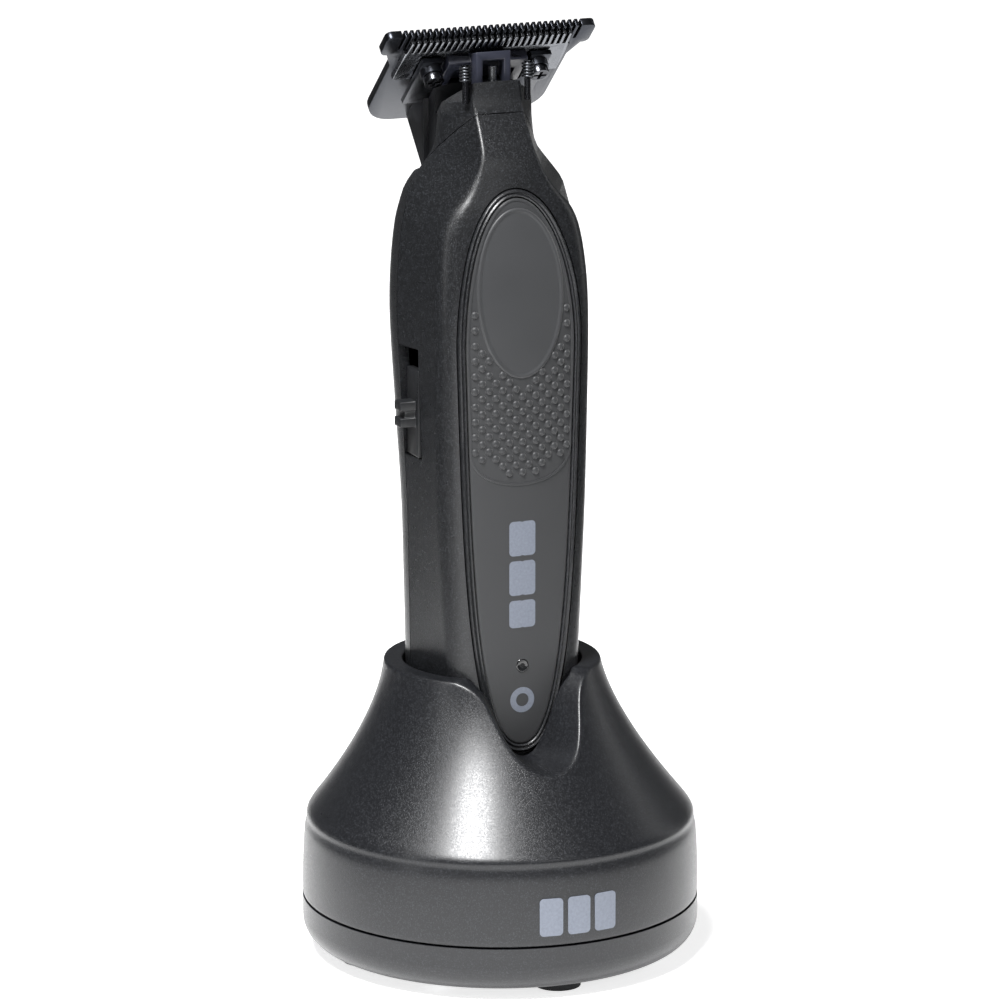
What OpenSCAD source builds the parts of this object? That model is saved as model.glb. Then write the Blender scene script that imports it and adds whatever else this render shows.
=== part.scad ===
// Cordless T-blade hair clipper standing in its round charging stand.
// Millimetres, +Z up, front towards -Y, origin on the table under the stand's centre.

/* [Stand] */
// Radius of the stand at its widest
stand_r = 38.6; // [34:0.1:48]
// Height of the rim that the clipper drops into
rim_z = 57.3; // [54:0.1:66]
// Height of the shoulder where the straight wall turns into the cone
shoulder_z = 26; // [24:0.1:32]
// Height of the joint line between the upper shell and the lower ring
ring_top_z = 11; // [9:0.1:13]
// Wall thickness of the stand's mouldings
stand_wall = 2.4; // [1.8:0.1:3.2]
// Radius of the rounded lower edge
base_round = 5; // [3:0.1:6]
// Thickness of the rim at its sides
rim_wall = 3.7; // [3:0.1:6]
// How far the rim's centre lies behind the base's centre
rim_back = 4; // [2:0.1:6]
// Half width of the scoop in the front of the rim
scoop_half_w = 9.6; // [8:0.1:11]
// Height of the bottom of the scoop
scoop_z = 40.8; // [38:0.1:46]
// Height of the rubber feet below the ring
foot_h = 1.8; // [1.2:0.1:3]
// Diameter of a rubber foot
foot_d = 9; // [7:0.1:10]
// Thickness of the bottom plate
plate_t = 2.2; // [1.8:0.1:3]
// Thickness of the steel weight
ballast_t = 2.4; // [1.5:0.1:3.5]

/* [Clipper body] */
// Height at which the clipper's bottom end sits in the stand
body_z = 30.5; // [29.5:0.1:34]
// Length of the clipper from its bottom end to the top of its nose
body_len = 141; // [118:0.5:170]
// Half width of the body at its widest
body_half_w = 18.6; // [17.5:0.1:23]
// Depth of the body in front of the side seam
front_depth = 17.6; // [17.2:0.1:21]
// Depth of the body behind the side seam
rear_depth = 15; // [14.5:0.1:18]
// Distance of the side seam behind the stand's centre
seam_y = 6.6; // [5:0.1:8]
// Half width of the front face between its rounded corners
front_flat = 10.6; // [10:0.1:13]
// Radius of the front corners
corner_r = 5.4; // [4:0.1:6.5]
// Wall thickness of the housing shells
wall = 2.2; // [1.8:0.1:2.4]
// Gap between the clipper and the well it stands in
well_gap = 0.6; // [0.4:0.1:1.2]

/* [Grip panel] */
// Half width of the panel
panel_half_w = 11.2; // [10:0.1:12]
// Width of the raised bead round the panel
bezel_w = 1.5; // [1:0.1:2]
// Depth of the pocket that the panel lies in
pocket_depth = 1.2; // [0.8:0.1:1.4]
// How far the bead stands above the housing
bezel_rise = 0.5; // [0.2:0.1:0.8]

/* [Blade] */
// Width across the toothed bar of the T blade
blade_w = 43; // [36:0.5:52]
// Length of the fixed blade from tooth tips to its lower edge
blade_len = 29; // [27:0.5:34]
// Thickness of the fixed blade
blade_t = 1.6; // [1.2:0.1:2]
// Distance from tooth to tooth
tooth_pitch = 1.25; // [1:0.05:1.6]
// Length of the teeth
tooth_len = 4; // [3:0.1:5]
// Slope of the blade below the horizontal, in degrees
blade_slope = 42; // [38:0.5:46]
// Half of the moving blade's stroke
stroke = 0.6; // [0.4:0.05:0.8]
// Distance from the centre to each blade screw
screw_x = 10.9; // [10.4:0.1:12.4]

/* [Drive] */
// Diameter of the motor can
motor_d = 20; // [16:0.1:20.4]
// Length of the motor can
motor_len = 27; // [22:0.5:30]
// Diameter of the motor shaft
shaft_d = 2; // [1.5:0.1:3]
// Diameter of the thin end of the drive pin
pin_d = 1.6; // [1.2:0.1:2]
// Diameter of the battery cell
cell_d = 18; // [14:0.1:19]
// Length of the battery cell
cell_len = 48; // [38:0.5:50]

/* [Switch] */
// Height of the slot for the switch
slot_h = 21.6; // [18:0.1:26]
// Width of the slot for the switch
slot_w = 6.6; // [5.5:0.1:7]
// Travel of the switch from off to on
switch_travel = 4; // [2:0.1:5]

/* [Hidden] */

// Running gap between parts that slide past each other
slide_gap = 0.3;
// Gap that shows as the joint line between two mouldings
seam_gap = 0.2;
// Overlap that lets a cut run clear through a face
over = 1;
round_fn = 36;
wall_fn = 44;

// Outline of the body against its length: share of the length, then shares of half width,
// front depth, rear depth, front flat and corner radius.
body_shape = [
    [0, 0.667, 0.75, 0.50, 0.60, 0.74],
    [0.014, 0.763, 0.886, 0.633, 0.66, 0.85],
    [0.04, 0.812, 0.96, 0.707, 0.70, 0.93],
    [0.08, 0.839, 0.994, 0.74, 0.74, 0.98],
    [0.17, 0.858, 1, 0.76, 0.78, 1],
    [0.32, 0.879, 1, 0.80, 0.88, 1],
    [0.42, 0.895, 1, 0.86, 0.94, 1],
    [0.54, 0.946, 1, 0.94, 0.98, 1],
    [0.67, 1, 1, 1, 1, 1],
    [0.74, 0.989, 0.96, 0.993, 0.98, 1],
    [0.80, 0.946, 0.881, 0.927, 0.915, 0.91],
    [0.83, 0.892, 0.83, 0.86, 0.81, 0.74],
    [0.85, 0.839, 0.784, 0.80, 0.66, 0.54],
    [0.875, 0.694, 0.727, 0.72, 0.53, 0.33],
    [0.90, 0.554, 0.66, 0.64, 0.453, 0.185],
    [0.93, 0.511, 0.511, 0.58, 0.425, 0.15],
    [0.96, 0.50, 0.358, 0.54, 0.415, 0.15],
    [1, 0.495, 0.267, 0.53, 0.415, 0.15]];
// Roundness of the back of the body: 2 is an ellipse, more is squarer
rear_power = 2.4;
// Bow of the front face between its corners
front_crown = 1;

function segment_of(t, x, i = 0) = i >= len(t) - 2 || x <= t[i + 1][0] ? i : segment_of(t, x, i + 1);
function chord(t, i, k, c) = (t[k][c] - t[i][c]) / (t[k][0] - t[i][0]);
function tangent(t, i, c) = chord(t, max(i - 1, 0), min(i + 1, len(t) - 1), c);
function hermite(s, h, p0, m0, p1, m1) = (2 * s * s * s - 3 * s * s + 1) * p0
    + (s * s * s - 2 * s * s + s) * h * m0 + (3 * s * s - 2 * s * s * s) * p1
    + (s * s * s - s * s) * h * m1;
// Smooth curve through column c of the outline table, at share x of the length
function outline(x, c) = let (i = segment_of(body_shape, x), h = body_shape[i + 1][0] - body_shape[i][0])
    hermite((x - body_shape[i][0]) / h, h, body_shape[i][c], tangent(body_shape, i, c),
        body_shape[i + 1][c], tangent(body_shape, i + 1, c));
function half_w_at(z) = body_half_w * outline((z - body_z) / body_len, 1);
function front_y_at(z) = seam_y - front_depth * outline((z - body_z) / body_len, 2);
function rear_y_at(z) = seam_y + rear_depth * outline((z - body_z) / body_len, 3);

body_top = body_z + body_len;
levels = [for (i = [0:len(body_shape) - 1]) each i == len(body_shape) - 1 ? [body_shape[i][0]]
    : [body_shape[i][0], (body_shape[i][0] + body_shape[i + 1][0]) / 2]];
arc_steps = 5;
rear_steps = 12;
crown_steps = 4;
least_r = 0.3;

// One closed outline of the body at share x of its length, grown outwards by off
function ring(x, off) = let (
        z = body_z + x * body_len,
        w = body_half_w * outline(x, 1) + off,
        f = seam_y - front_depth * outline(x, 2) - off,
        d = rear_depth * outline(x, 3) + off,
        share = outline(x, 4),
        want_r = corner_r * outline(x, 5) + off,
        r = max(want_r, least_r),
        a = front_flat * share - (r - want_r) * 0.8,
        bow = front_crown * share * share)
    concat(
        [for (i = [0:rear_steps]) let (t = 180 * i / rear_steps)
            [w * sign(cos(t)) * pow(abs(cos(t)), 2 / rear_power),
                seam_y + d * pow(sin(t), 2 / rear_power), z]],
        [for (i = [0:arc_steps]) let (t = 180 + 90 * i / arc_steps)
            [-a + r * cos(t), f + bow + r + r * sin(t), z]],
        [for (i = [1:crown_steps - 1]) let (s = 2 * i / crown_steps - 1) [a * s, f + bow * s * s, z]],
        [for (i = [0:arc_steps]) let (t = 270 + 90 * i / arc_steps)
            [a + r * cos(t), f + bow + r + r * sin(t), z]]);
// Rings made by rotate_extrude would lose the lean of the cone, so it is lofted too
function circle_ring(r, back, z, n = wall_fn) =
    [for (i = [0:n - 1]) [r * cos(360 * i / n), back + r * sin(360 * i / n), z]];

module between(a, b) {
    n = len(a);
    hull() polyhedron(points = concat(a, b),
        faces = [[for (i = [0:n - 1]) i], [for (i = [0:n - 1]) n + i]]);
}
module loft(rings) {
    for (i = [0:len(rings) - 2]) between(rings[i], rings[i + 1]);
}
module body_loft(off, low = 0, high = 1) {
    loft([for (x = levels) if (x >= low && x <= high) ring(x, off)]);
}
// A plate outline in the Y-Z plane, extruded to half width w on both sides of X = 0
module side_plate(w, points) {
    translate([w, 0, 0]) rotate([90, 0, -90]) linear_extrude(2 * w)
        polygon([for (p = points) [-p[0], p[1]]]);
}
// An outline in the X-Z plane, extruded from y0 to y1
module front_plate(y0, y1) {
    translate([0, y1, 0]) rotate([90, 0, 0]) linear_extrude(y1 - y0) children();
}
module bar(x0, x1, y0, y1, z0, z1) {
    translate([x0, y0, z0]) cube([x1 - x0, y1 - y0, z1 - z0]);
}
module rod(r, x, y, z0, z1) {
    translate([x, y, z0]) cylinder(r = r, h = z1 - z0, $fn = round_fn);
}
module rod_y(r, x, z, y0, y1) {
    translate([x, y1, z]) rotate([90, 0, 0]) cylinder(r = r, h = y1 - y0, $fn = round_fn);
}

// ---- Stand ----
rim_r = half_w_at(rim_z) + well_gap + rim_wall + 0.8;
shoulder_r = stand_r - 0.6;
shoulder_round = 2.4;
cone_power = 1.5;
lean_power = 1.3;
cone_steps = 12;
cone_z = shoulder_z + 1.6;
function cone_share(z) = max(0, min(1, (z - cone_z) / (rim_z - cone_z)));
function cone_r(z) = rim_r + (shoulder_r - rim_r) * pow(1 - cone_share(z), cone_power);
function cone_back(z) = rim_back * pow(cone_share(z), lean_power);
function stand_rings(off) = concat(
    [circle_ring(stand_r - off, 0, ring_top_z + seam_gap / 2),
        circle_ring(stand_r - off, 0, (ring_top_z + shoulder_z) / 2 - 2),
        circle_ring(shoulder_r + 0.2 - off, 0, shoulder_z - shoulder_round),
        circle_ring(shoulder_r - off, 0, shoulder_z - 0.8)],
    [circle_ring(shoulder_r - 0.5 - off, 0, shoulder_z + 0.6)],
    [for (i = [1:cone_steps - 1]) let (z = cone_z + (rim_z - cone_z) * i / cone_steps)
        circle_ring(cone_r(z) - off, cone_back(z), z)]);
lip_r = 1.4;
floor_z = body_z - 0.1;
floor_t = 2.5;
scoop_wall = 2;
base_gap = 0.2;

module stand_outer() {
    loft(concat(stand_rings(0), [
        circle_ring(rim_r, rim_back, rim_z - lip_r),
        circle_ring(rim_r - 0.3 * lip_r, rim_back, rim_z - 0.3 * lip_r),
        circle_ring(rim_r - lip_r, rim_back, rim_z)]));
}
module stand_hollow() {
    loft([for (r = stand_rings(stand_wall)) if (r[0][2] < rim_z - 6) r]);
    translate([0, 0, ring_top_z - over])
        cylinder(r = stand_r - stand_wall, h = over + seam_gap, $fn = wall_fn);
}
// The well follows the clipper's own outline, and runs out through the rim
well_end = (rim_z + 2 * over - body_z) / body_len;
module well(off) {
    loft([for (x = concat([for (x = levels) if (x < well_end - 0.01) x], [well_end])) ring(x, off)]);
}
// The scoop: a round-bottomed slot that widens where it meets the rim
module scoop_outline(off) {
    offset(delta = off) union() {
        translate([0, scoop_z + scoop_half_w - 1.6]) scale([1, 0.85])
            circle(r = scoop_half_w - 1, $fn = round_fn);
        polygon([[-scoop_half_w + 1, scoop_z + scoop_half_w - 1.6], [-scoop_half_w - 0.4, rim_z - 3],
            [-scoop_half_w - 3.4, rim_z + over], [scoop_half_w + 3.4, rim_z + over],
            [scoop_half_w + 0.4, rim_z - 3], [scoop_half_w - 1, scoop_z + scoop_half_w - 1.6]]);
    }
}
well_front = front_y_at(rim_z) - well_gap;

module stand_shell() {
    color("#3c3d42") difference() {
        union() {
            difference() {
                stand_outer();
                stand_hollow();
            }
            intersection() {
                stand_outer();
                union() {
                    well(well_gap + stand_wall);
                    translate([0, 0, floor_z - floor_t]) linear_extrude(floor_t + over)
                        polygon([for (p = ring(0.014, well_gap + stand_wall)) [p[0], p[1]]]);
                    front_plate(-stand_r, seam_y - corner_r) scoop_outline(scoop_wall);
                }
            }
        }
        difference() {
            well(well_gap);
            bar(-stand_r, stand_r, -stand_r, stand_r, 0, floor_z);
        }
        translate([0, rim_back, rim_z - 3.4]) cylinder(r = rim_r - rim_wall, h = 5, $fn = wall_fn);
        front_plate(-stand_r - over, well_front + 2) scoop_outline(0);
        for (x = [-1, 1]) rod(pin_hole_r, x * contact_x, contact_y, floor_z - floor_t - over,
            floor_z + over);
        inlet_cut(inlet_gap);
    }
}

ring_ledge_r = stand_r - base_round - base_gap;
ledge_in_r = ring_ledge_r - 4.4;
ledge_t = 2;
plate_top = foot_h + plate_t;
module base_ring() {
    color("#38393d") difference() {
        rotate_extrude($fn = round_fn) difference() {
            union() {
                translate([stand_r - base_round, foot_h + base_round])
                    circle(r = base_round, $fn = round_fn);
                translate([ledge_in_r, foot_h]) square([stand_r - base_round - ledge_in_r, base_round]);
                translate([ledge_in_r, foot_h + base_round])
                    square([stand_r - ledge_in_r, ring_top_z - seam_gap / 2 - foot_h - base_round]);
            }
            translate([0, foot_h - over]) square([ring_ledge_r, plate_t + over]);
            translate([0, plate_top + ledge_t]) square([stand_r - stand_wall, ring_top_z]);
        }
        for (a = [45:90:315]) rotate(a)
            rod(shank_r + 0.02, 0, stand_screw_r, 0, plate_top + ledge_t + over);
    }
}
foot_ring_r = ring_ledge_r - foot_d / 2 - 0.6;
foot_sink = 0.6;
stand_screw_r = ring_ledge_r - 2.6;
shank_r = 1.2;
post_x = 10;
post_ys = [4, 20];
board_z = shoulder_z - 13.8;
board_t = 1.2;
post_r = 2.5;
module base_plate() {
    color("#2f3033") difference() {
        union() {
            rod(ring_ledge_r - base_gap, 0, 0, foot_h, plate_top);
            for (x = [-1, 1], y = post_ys) rod(post_r, x * post_x, y, plate_top - 0.1, board_z);
        }
        for (a = [0:90:270]) rotate(a) rod(foot_d / 2, 0, foot_ring_r, foot_h - over, foot_h + foot_sink);
        for (a = [45:90:315]) rotate(a) {
            rod(shank_r + 0.1, 0, stand_screw_r, foot_h - over, plate_top + over);
            rod(2.4, 0, stand_screw_r, foot_h - over, foot_h + 1.2);
        }
    }
}
module stand_feet() {
    color("#232427") for (a = [0:90:270]) rotate(a)
        rod(foot_d / 2 - 0.05, 0, foot_ring_r, 0, foot_h + foot_sink);
}
module stand_screws() {
    color("#a9abad") for (a = [45:90:315]) rotate(a) difference() {
        union() {
            rod(2.2, 0, stand_screw_r, foot_h + 0.1, foot_h + 1.2);
            rod(shank_r, 0, stand_screw_r, foot_h + 1.1, plate_top + ledge_t - 0.2);
        }
        for (b = [0, 90]) translate([0, stand_screw_r, foot_h]) rotate(b)
            cube([2.6, 0.6, 1.2], center = true);
    }
}
module ballast_plate() {
    color("#8a8c8f") difference() {
        rod(ledge_in_r - 2, 0, 0, plate_top, plate_top + ballast_t);
        for (x = [-1, 1], y = post_ys) rod(post_r + 0.4, x * post_x, y, plate_top - over,
            plate_top + ballast_t + over);
    }
}
inlet_w = 8.9;
inlet_h = 3.2;
inlet_depth = 7;
inlet_gap = 0.25;
inlet_z = board_z + board_t + inlet_h / 2;
inlet_back = stand_r - 1;
module inlet_outline(grow) {
    for (s = [-1, 1]) translate([s * (inlet_w - inlet_h) / 2, inlet_z])
        circle(r = inlet_h / 2 + grow, $fn = round_fn);
    translate([0, inlet_z]) square([inlet_w - inlet_h, inlet_h + 2 * grow], center = true);
}
module inlet_cut(grow) {
    front_plate(stand_r - 3 * stand_wall, stand_r + over) inlet_outline(grow);
}
module power_inlet() {
    color("#b9bcc0") {
        difference() {
            front_plate(inlet_back - inlet_depth, inlet_back) inlet_outline(0);
            front_plate(inlet_back - inlet_depth + 1, inlet_back + over) inlet_outline(-0.35);
        }
        bar(-3.2, 3.2, inlet_back - inlet_depth + 0.9, inlet_back - 0.8, inlet_z - 0.35, inlet_z + 0.35);
    }
}
board_half_w = 14;
board_back = sqrt(pow(stand_r - stand_wall - 0.4, 2) - pow(board_half_w, 2));
module stand_board() {
    color("#1f5a34") difference() {
        bar(-board_half_w, board_half_w, -4, board_back, board_z, board_z + board_t);
        for (x = [-1, 1], y = post_ys) rod(1, x * post_x, y, board_z - over, board_z + board_t + over);
    }
}
contact_x = 5;
contact_y = 0.6;
barrel_r = 1.6;
plunger_r = 0.9;
pin_hole_r = plunger_r + slide_gap;
block_h = 7;
block_top = floor_z - floor_t - 0.1;
module contact_block() {
    color("#26272a") difference() {
        bar(-9, 9, contact_y - 4, contact_y + 4, block_top - block_h, block_top);
        for (x = [-1, 1]) rod(barrel_r, x * contact_x, contact_y, block_top - block_h - over,
            block_top + over);
    }
}
pin_travel = 0.8;
module pin_barrels() {
    color("#c9a24a") for (x = [-1, 1]) difference() {
        rod(barrel_r - 0.05, x * contact_x, contact_y, block_top - block_h - 0.6, block_top);
        rod(plunger_r + 0.05, x * contact_x, contact_y, block_top - block_h + 0.6, block_top + over);
    }
}
module stand_leads() {
    color("#a02828") for (x = [-1, 1])
        rod(0.6, x * contact_x, contact_y, board_z + board_t, block_top - block_h - 0.6);
}
contact_recess = 1.2;
contact_t = 0.8;
plunger_top = body_z + contact_recess - 0.1;
module charge_pins() {
    color("#d9b45a") for (x = [-1, 1])
        rod(plunger_r, x * contact_x, contact_y, block_top - block_h + 0.6 + pin_travel + slide_gap,
            plunger_top);
}

// ---- Housing ----
nose_seam_y = seam_y + 2.6;
nose_seam_low = body_top - 16;
nose_seam_high = body_top - 6.6;
seam_bend_z = body_top - 24.5;
shell_top_z = body_top - 19;
far = 60;
// Side views of the two halves, split at the side seam
module front_region(gap) {
    side_plate(far, [[-far, body_z - over], [seam_y - gap, body_z - over], [seam_y - gap, seam_bend_z],
        [nose_seam_y - gap, nose_seam_low - 3], [nose_seam_y - gap, nose_seam_low - gap],
        [-gap, nose_seam_high - gap], [-far, nose_seam_high - gap]]);
}
module rear_region(gap) {
    side_plate(far, [[far, body_z - over], [seam_y + gap, body_z - over], [seam_y + gap, seam_bend_z],
        [nose_seam_y + gap, nose_seam_low - 3], [nose_seam_y + gap, shell_top_z], [far, shell_top_z]]);
}
module nose_region(gap) {
    side_plate(far, [[-far, nose_seam_high + gap], [-gap, nose_seam_high + gap],
        [nose_seam_y, nose_seam_low + gap],
        [nose_seam_y, body_top - 7.2], [front_y_at(body_top), body_top], [-far, body_top]]);
}
panel_top_z = body_top - 21.6;
panel_low_z = body_z + 12.9;
panel_wide_z = body_top - 50;
// Half width of the panel at share s of the way down from its widest place
function panel_half(s) = panel_half_w * (1 - 0.2 * s) * pow(1 - pow(s, 4), 0.42);
module panel_outline(off) {
    offset(delta = off) union() {
        intersection() {
            translate([0, panel_wide_z]) scale([panel_half_w, panel_top_z - panel_wide_z])
                circle(r = 1, $fn = 48);
            translate([-far, panel_wide_z - 0.1]) square([2 * far, far]);
        }
        polygon([for (k = [-1, 1], i = [0:16]) let (j = k < 0 ? i : 16 - i, s = sin(90 * j / 16))
            [-k * panel_half(s), panel_wide_z - s * (panel_wide_z - panel_low_z)]]);
    }
}
pocket_gap = 0.1;
panel_high = (panel_top_z + 4 - body_z) / body_len;
panel_rise = 0.1;
module front_shell() {
    color("#34353a") difference() {
        intersection() {
            union() {
                difference() {
                    body_loft(0);
                    front_plate(-far, 0) panel_outline(bezel_w + pocket_gap);
                }
                body_loft(-pocket_depth);
            }
            front_region(seam_gap / 2);
        }
        body_loft(-wall, 0.014);
        switch_cut(0);
        light_hole();
        contact_cut(0);
        screw_paths();
    }
    color("#34353a") shell_bosses();
}
module rear_shell() {
    color("#36373b") difference() {
        intersection() {
            body_loft(0, 0, 0.875);
            rear_region(seam_gap / 2);
        }
        difference() {
            body_loft(-wall, 0.014, 0.875);
            bar(-far, far, seam_y, far, shell_top_z - wall, body_top);
        }
        neck_passage();
        screw_paths();
    }
}
nose_wall = 1.3;
module nose_cover() {
    color("#3a3b40") difference() {
        intersection() {
            body_loft(0, 0.85);
            nose_region(seam_gap / 2);
        }
        body_loft(-nose_wall, 0.85);
        translate([0, 0, body_top - 0.01]) cylinder(r = far, h = over);
        front_room();
    }
}
// Space kept clear inside the top of the nose for the fork and the pin
module front_room() {
    bar(-fork_half - stroke - slide_gap, fork_half + stroke + slide_gap, fork_y0 - slide_gap,
        nose_seam_y + over,
        body_top - 8, body_top + over);
}
module grip_panel() {
    color("#515254") difference() {
        intersection() {
            body_loft(panel_rise, 0.04, 0.9);
            front_plate(-far, 0) panel_outline(0);
        }
        body_loft(-pocket_depth, 0.014, 0.93);
        light_hole();
    }
}
module panel_bezel() {
    color("#45464a") difference() {
        intersection() {
            body_loft(bezel_rise, 0.04, 0.9);
            front_plate(-far, 0) difference() {
                panel_outline(bezel_w);
                panel_outline(pocket_gap);
            }
        }
        body_loft(-pocket_depth, 0.014, 0.93);
    }
}
light_z = body_z + 28.5;
light_r = 1;
module light_hole() {
    rod_y(light_r + 0.05, 0, light_z, -far, 0);
}
light_back = seam_y - front_depth + wall;
module light_pipe() {
    color("#c8d4dc") rod_y(light_r, 0, light_z, seam_y - front_depth + 0.3, light_back);
}
light_h = 1.4;
module status_light() {
    color("#e8ecec") rod_y(1.3, 0, light_z, light_back + 0.1, light_back + 0.1 + light_h);
}

// ---- Inside the housing ----
pcb_y = light_back + 0.1 + light_h;
pcb_t = 1;
pcb_half_w = 9;
pcb_low = body_z + 13.5;
motor_y = 4.4;
// The motor stays below the neck, and lower in a longer body, whose neck starts lower
motor_top = min(body_top - 26.5, body_z + 0.8121 * body_len);
motor_low = motor_top - motor_len;
end_cap_h = 3;
pcb_high = min(motor_low - end_cap_h - 2, pcb_low + 66);
module circuit_board() {
    color("#1f5a34") bar(-pcb_half_w, pcb_half_w, pcb_y, pcb_y + pcb_t, pcb_low, pcb_high);
}
module charge_chip() {
    color("#17181a") {
        bar(-3, 3, pcb_y + pcb_t, pcb_y + pcb_t + 0.9, pcb_high - 14, pcb_high - 8);
        bar(-2, 2, pcb_y + pcb_t, pcb_y + pcb_t + 0.9, pcb_high - 20, pcb_high - 16);
        for (x = [-6, 6]) bar(x - 1, x + 1, pcb_y + pcb_t, pcb_y + pcb_t + 0.7, pcb_high - 12,
            pcb_high - 8);
    }
}
cell_y = pcb_y + pcb_t + 1.2 + cell_d / 2;
cell_low = body_z + 9;
module battery_cell() {
    color("#3f7fb5") translate([0, cell_y, cell_low]) {
        rotate_extrude($fn = round_fn) union() {
            square([cell_d / 2 - 0.8, cell_len]);
            translate([0, 0.8]) square([cell_d / 2, cell_len - 1.6]);
            translate([cell_d / 2 - 0.8, 0.8]) circle(r = 0.8, $fn = round_fn);
            translate([cell_d / 2 - 0.8, cell_len - 0.8]) circle(r = 0.8, $fn = round_fn);
        }
        translate([0, 0, cell_len]) cylinder(r = 3, h = 0.8, $fn = round_fn);
    }
}
cradle_t = 1.1;
module battery_cradle() {
    color("#2b2c2f") intersection() {
        difference() {
            rod(cell_d / 2 + 0.15 + cradle_t, 0, cell_y, cell_low + 4, cell_low + cell_len - 4);
            rod(cell_d / 2 + 0.15, 0, cell_y, cell_low, cell_low + cell_len);
        }
        bar(-far, far, cell_y + 0.5, cell_y + far, cell_low, cell_low + cell_len);
    }
}
tab_t = 0.25;
module battery_tabs() {
    color("#c4c6c8") {
        bar(-2.5, 2.5, pcb_y + pcb_t, cell_y + 3, cell_low - tab_t, cell_low);
        bar(-2.5, 2.5, pcb_y + pcb_t, cell_y + 3, cell_low + cell_len + 0.8,
            cell_low + cell_len + 0.8 + tab_t);
    }
}
plate_half_x = 8;
plate_half_y = 4.2;
module contact_cut(grow) {
    bar(-plate_half_x - grow, plate_half_x + grow, contact_y - plate_half_y - grow,
        contact_y + plate_half_y + grow,
        body_z - over, body_z + wall + over);
}
module contact_plate() {
    color("#222326") difference() {
        bar(-plate_half_x + 0.05, plate_half_x - 0.05, contact_y - plate_half_y + 0.05,
            contact_y + plate_half_y - 0.05,
            body_z, body_z + wall + 0.4);
        for (x = [-1, 1]) {
            rod(plunger_r + 0.8, x * contact_x, contact_y, body_z - over, body_z + wall + over);
            rod(plunger_r + 1.2, x * contact_x, contact_y, body_z + contact_recess, body_z + wall + over);
        }
    }
}
module charge_contacts() {
    color("#d9b45a") for (x = [-1, 1])
        rod(plunger_r + 1.15, x * contact_x, contact_y, body_z + contact_recess,
            body_z + contact_recess + contact_t);
}
boss_r = 2;
screw_r = 0.9;
boss_low_z = body_z + 6.4;
boss_high_z = cell_low + cell_len + 6;
screw_places = [[-8.4, boss_low_z], [8.4, boss_low_z],
    [-half_w_at(boss_high_z) + wall + boss_r, boss_high_z],
        [half_w_at(boss_high_z) - wall - boss_r, boss_high_z]];
boss_front = seam_y - front_depth + wall;
module shell_bosses() {
    difference() {
        intersection() {
            body_loft(-wall + 0.3, 0.014, 0.67);
            for (p = screw_places) rod_y(boss_r, p[0], p[1], boss_front - 2, seam_y);
        }
        for (p = screw_places) rod_y(screw_r + 0.05, p[0], p[1], boss_front + 3, seam_y + over);
    }
}
head_r = 1.9;
// Each screw's head lies in a pocket whose floor is this far behind the seam
head_y = seam_y + 4.5;
module screw_paths() {
    for (p = screw_places) {
        rod_y(screw_r + 0.3, p[0], p[1], seam_y, head_y + over);
        rod_y(head_r + 0.2, p[0], p[1], head_y, far);
    }
}
module housing_screws() {
    color("#8d8f92") for (p = screw_places) difference() {
        union() {
            rod_y(screw_r, p[0], p[1], seam_y - 6, head_y + 0.1);
            rod_y(head_r, p[0], p[1], head_y, head_y + 1.4);
        }
        for (b = [0, 90]) translate([p[0], head_y + 1.4, p[1]]) rotate([0, b, 0])
            cube([2.4, 1.2, 0.6], center = true);
    }
}

// ---- Switch ----
slot_z0 = body_z + 0.484 * body_len;
slot_z1 = slot_z0 + slot_h;
slot_mid = (slot_z0 + slot_z1) / 2;
side_x = half_w_at(slot_mid);
slot_y1 = seam_y;
slot_y0 = slot_y1 - slot_w;
module switch_cut(grow) {
    bar(-far, -side_x + wall + 2.4, slot_y0 - grow, slot_y1 + over, slot_z0 - grow, slot_z1 + grow);
}
plate_low = slot_z0 + slide_gap;
plate_high = slot_z1 - switch_travel - slide_gap;
button_out = side_x - 1;
button_t = 1.4;
knob_z = plate_low + 8.4;
knob_h = 5;
knob_out = 3.2;
module switch_button() {
    color("#3f4044") {
        bar(-button_out, -button_out + button_t, slot_y0 + slide_gap, slot_y1 - slide_gap - seam_gap,
            plate_low, plate_high);
        bar(-button_out - knob_out, -button_out + 0.1, slot_y0 + 1.6, slot_y1 - 1.8,
            knob_z - knob_h / 2, knob_z - 0.7);
        bar(-button_out - knob_out, -button_out + 0.1, slot_y0 + 1.6, slot_y1 - 1.8, knob_z + 0.7,
            knob_z + knob_h / 2);
        bar(-button_out - knob_out + 1, -button_out + 0.1, slot_y0 + 2, slot_y1 - 2.2, knob_z - 0.8,
            knob_z + 0.8);
    }
}
lever_x = button_out - button_t;
lever_len = 2.2;
lever_y = (slot_y0 + slot_y1) / 2;
module switch_lever() {
    color("#1b1c1e") bar(-lever_x, -lever_x + lever_len, lever_y - 1, lever_y + 1, knob_z - 1, knob_z + 1);
}
switch_body_x = lever_x - 1.2;
switch_body_t = 2.2;
module slide_switch() {
    color("#b5b8bb") difference() {
        bar(-switch_body_x, -switch_body_x + switch_body_t, lever_y - 2.6, lever_y + 2.6, knob_z - 4.5,
            knob_z + 4.5 + switch_travel);
        bar(-switch_body_x - over, -switch_body_x + 1.4, lever_y - 1.3, lever_y + 1.3,
            knob_z - 1.3, knob_z + 1.3 + switch_travel);
    }
}
module switch_board() {
    color("#1f5a34") bar(-switch_body_x + switch_body_t, -switch_body_x + switch_body_t + 0.8,
        lever_y - 3.2, lever_y + 3.2, knob_z - 6, knob_z + 6 + switch_travel);
}

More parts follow.
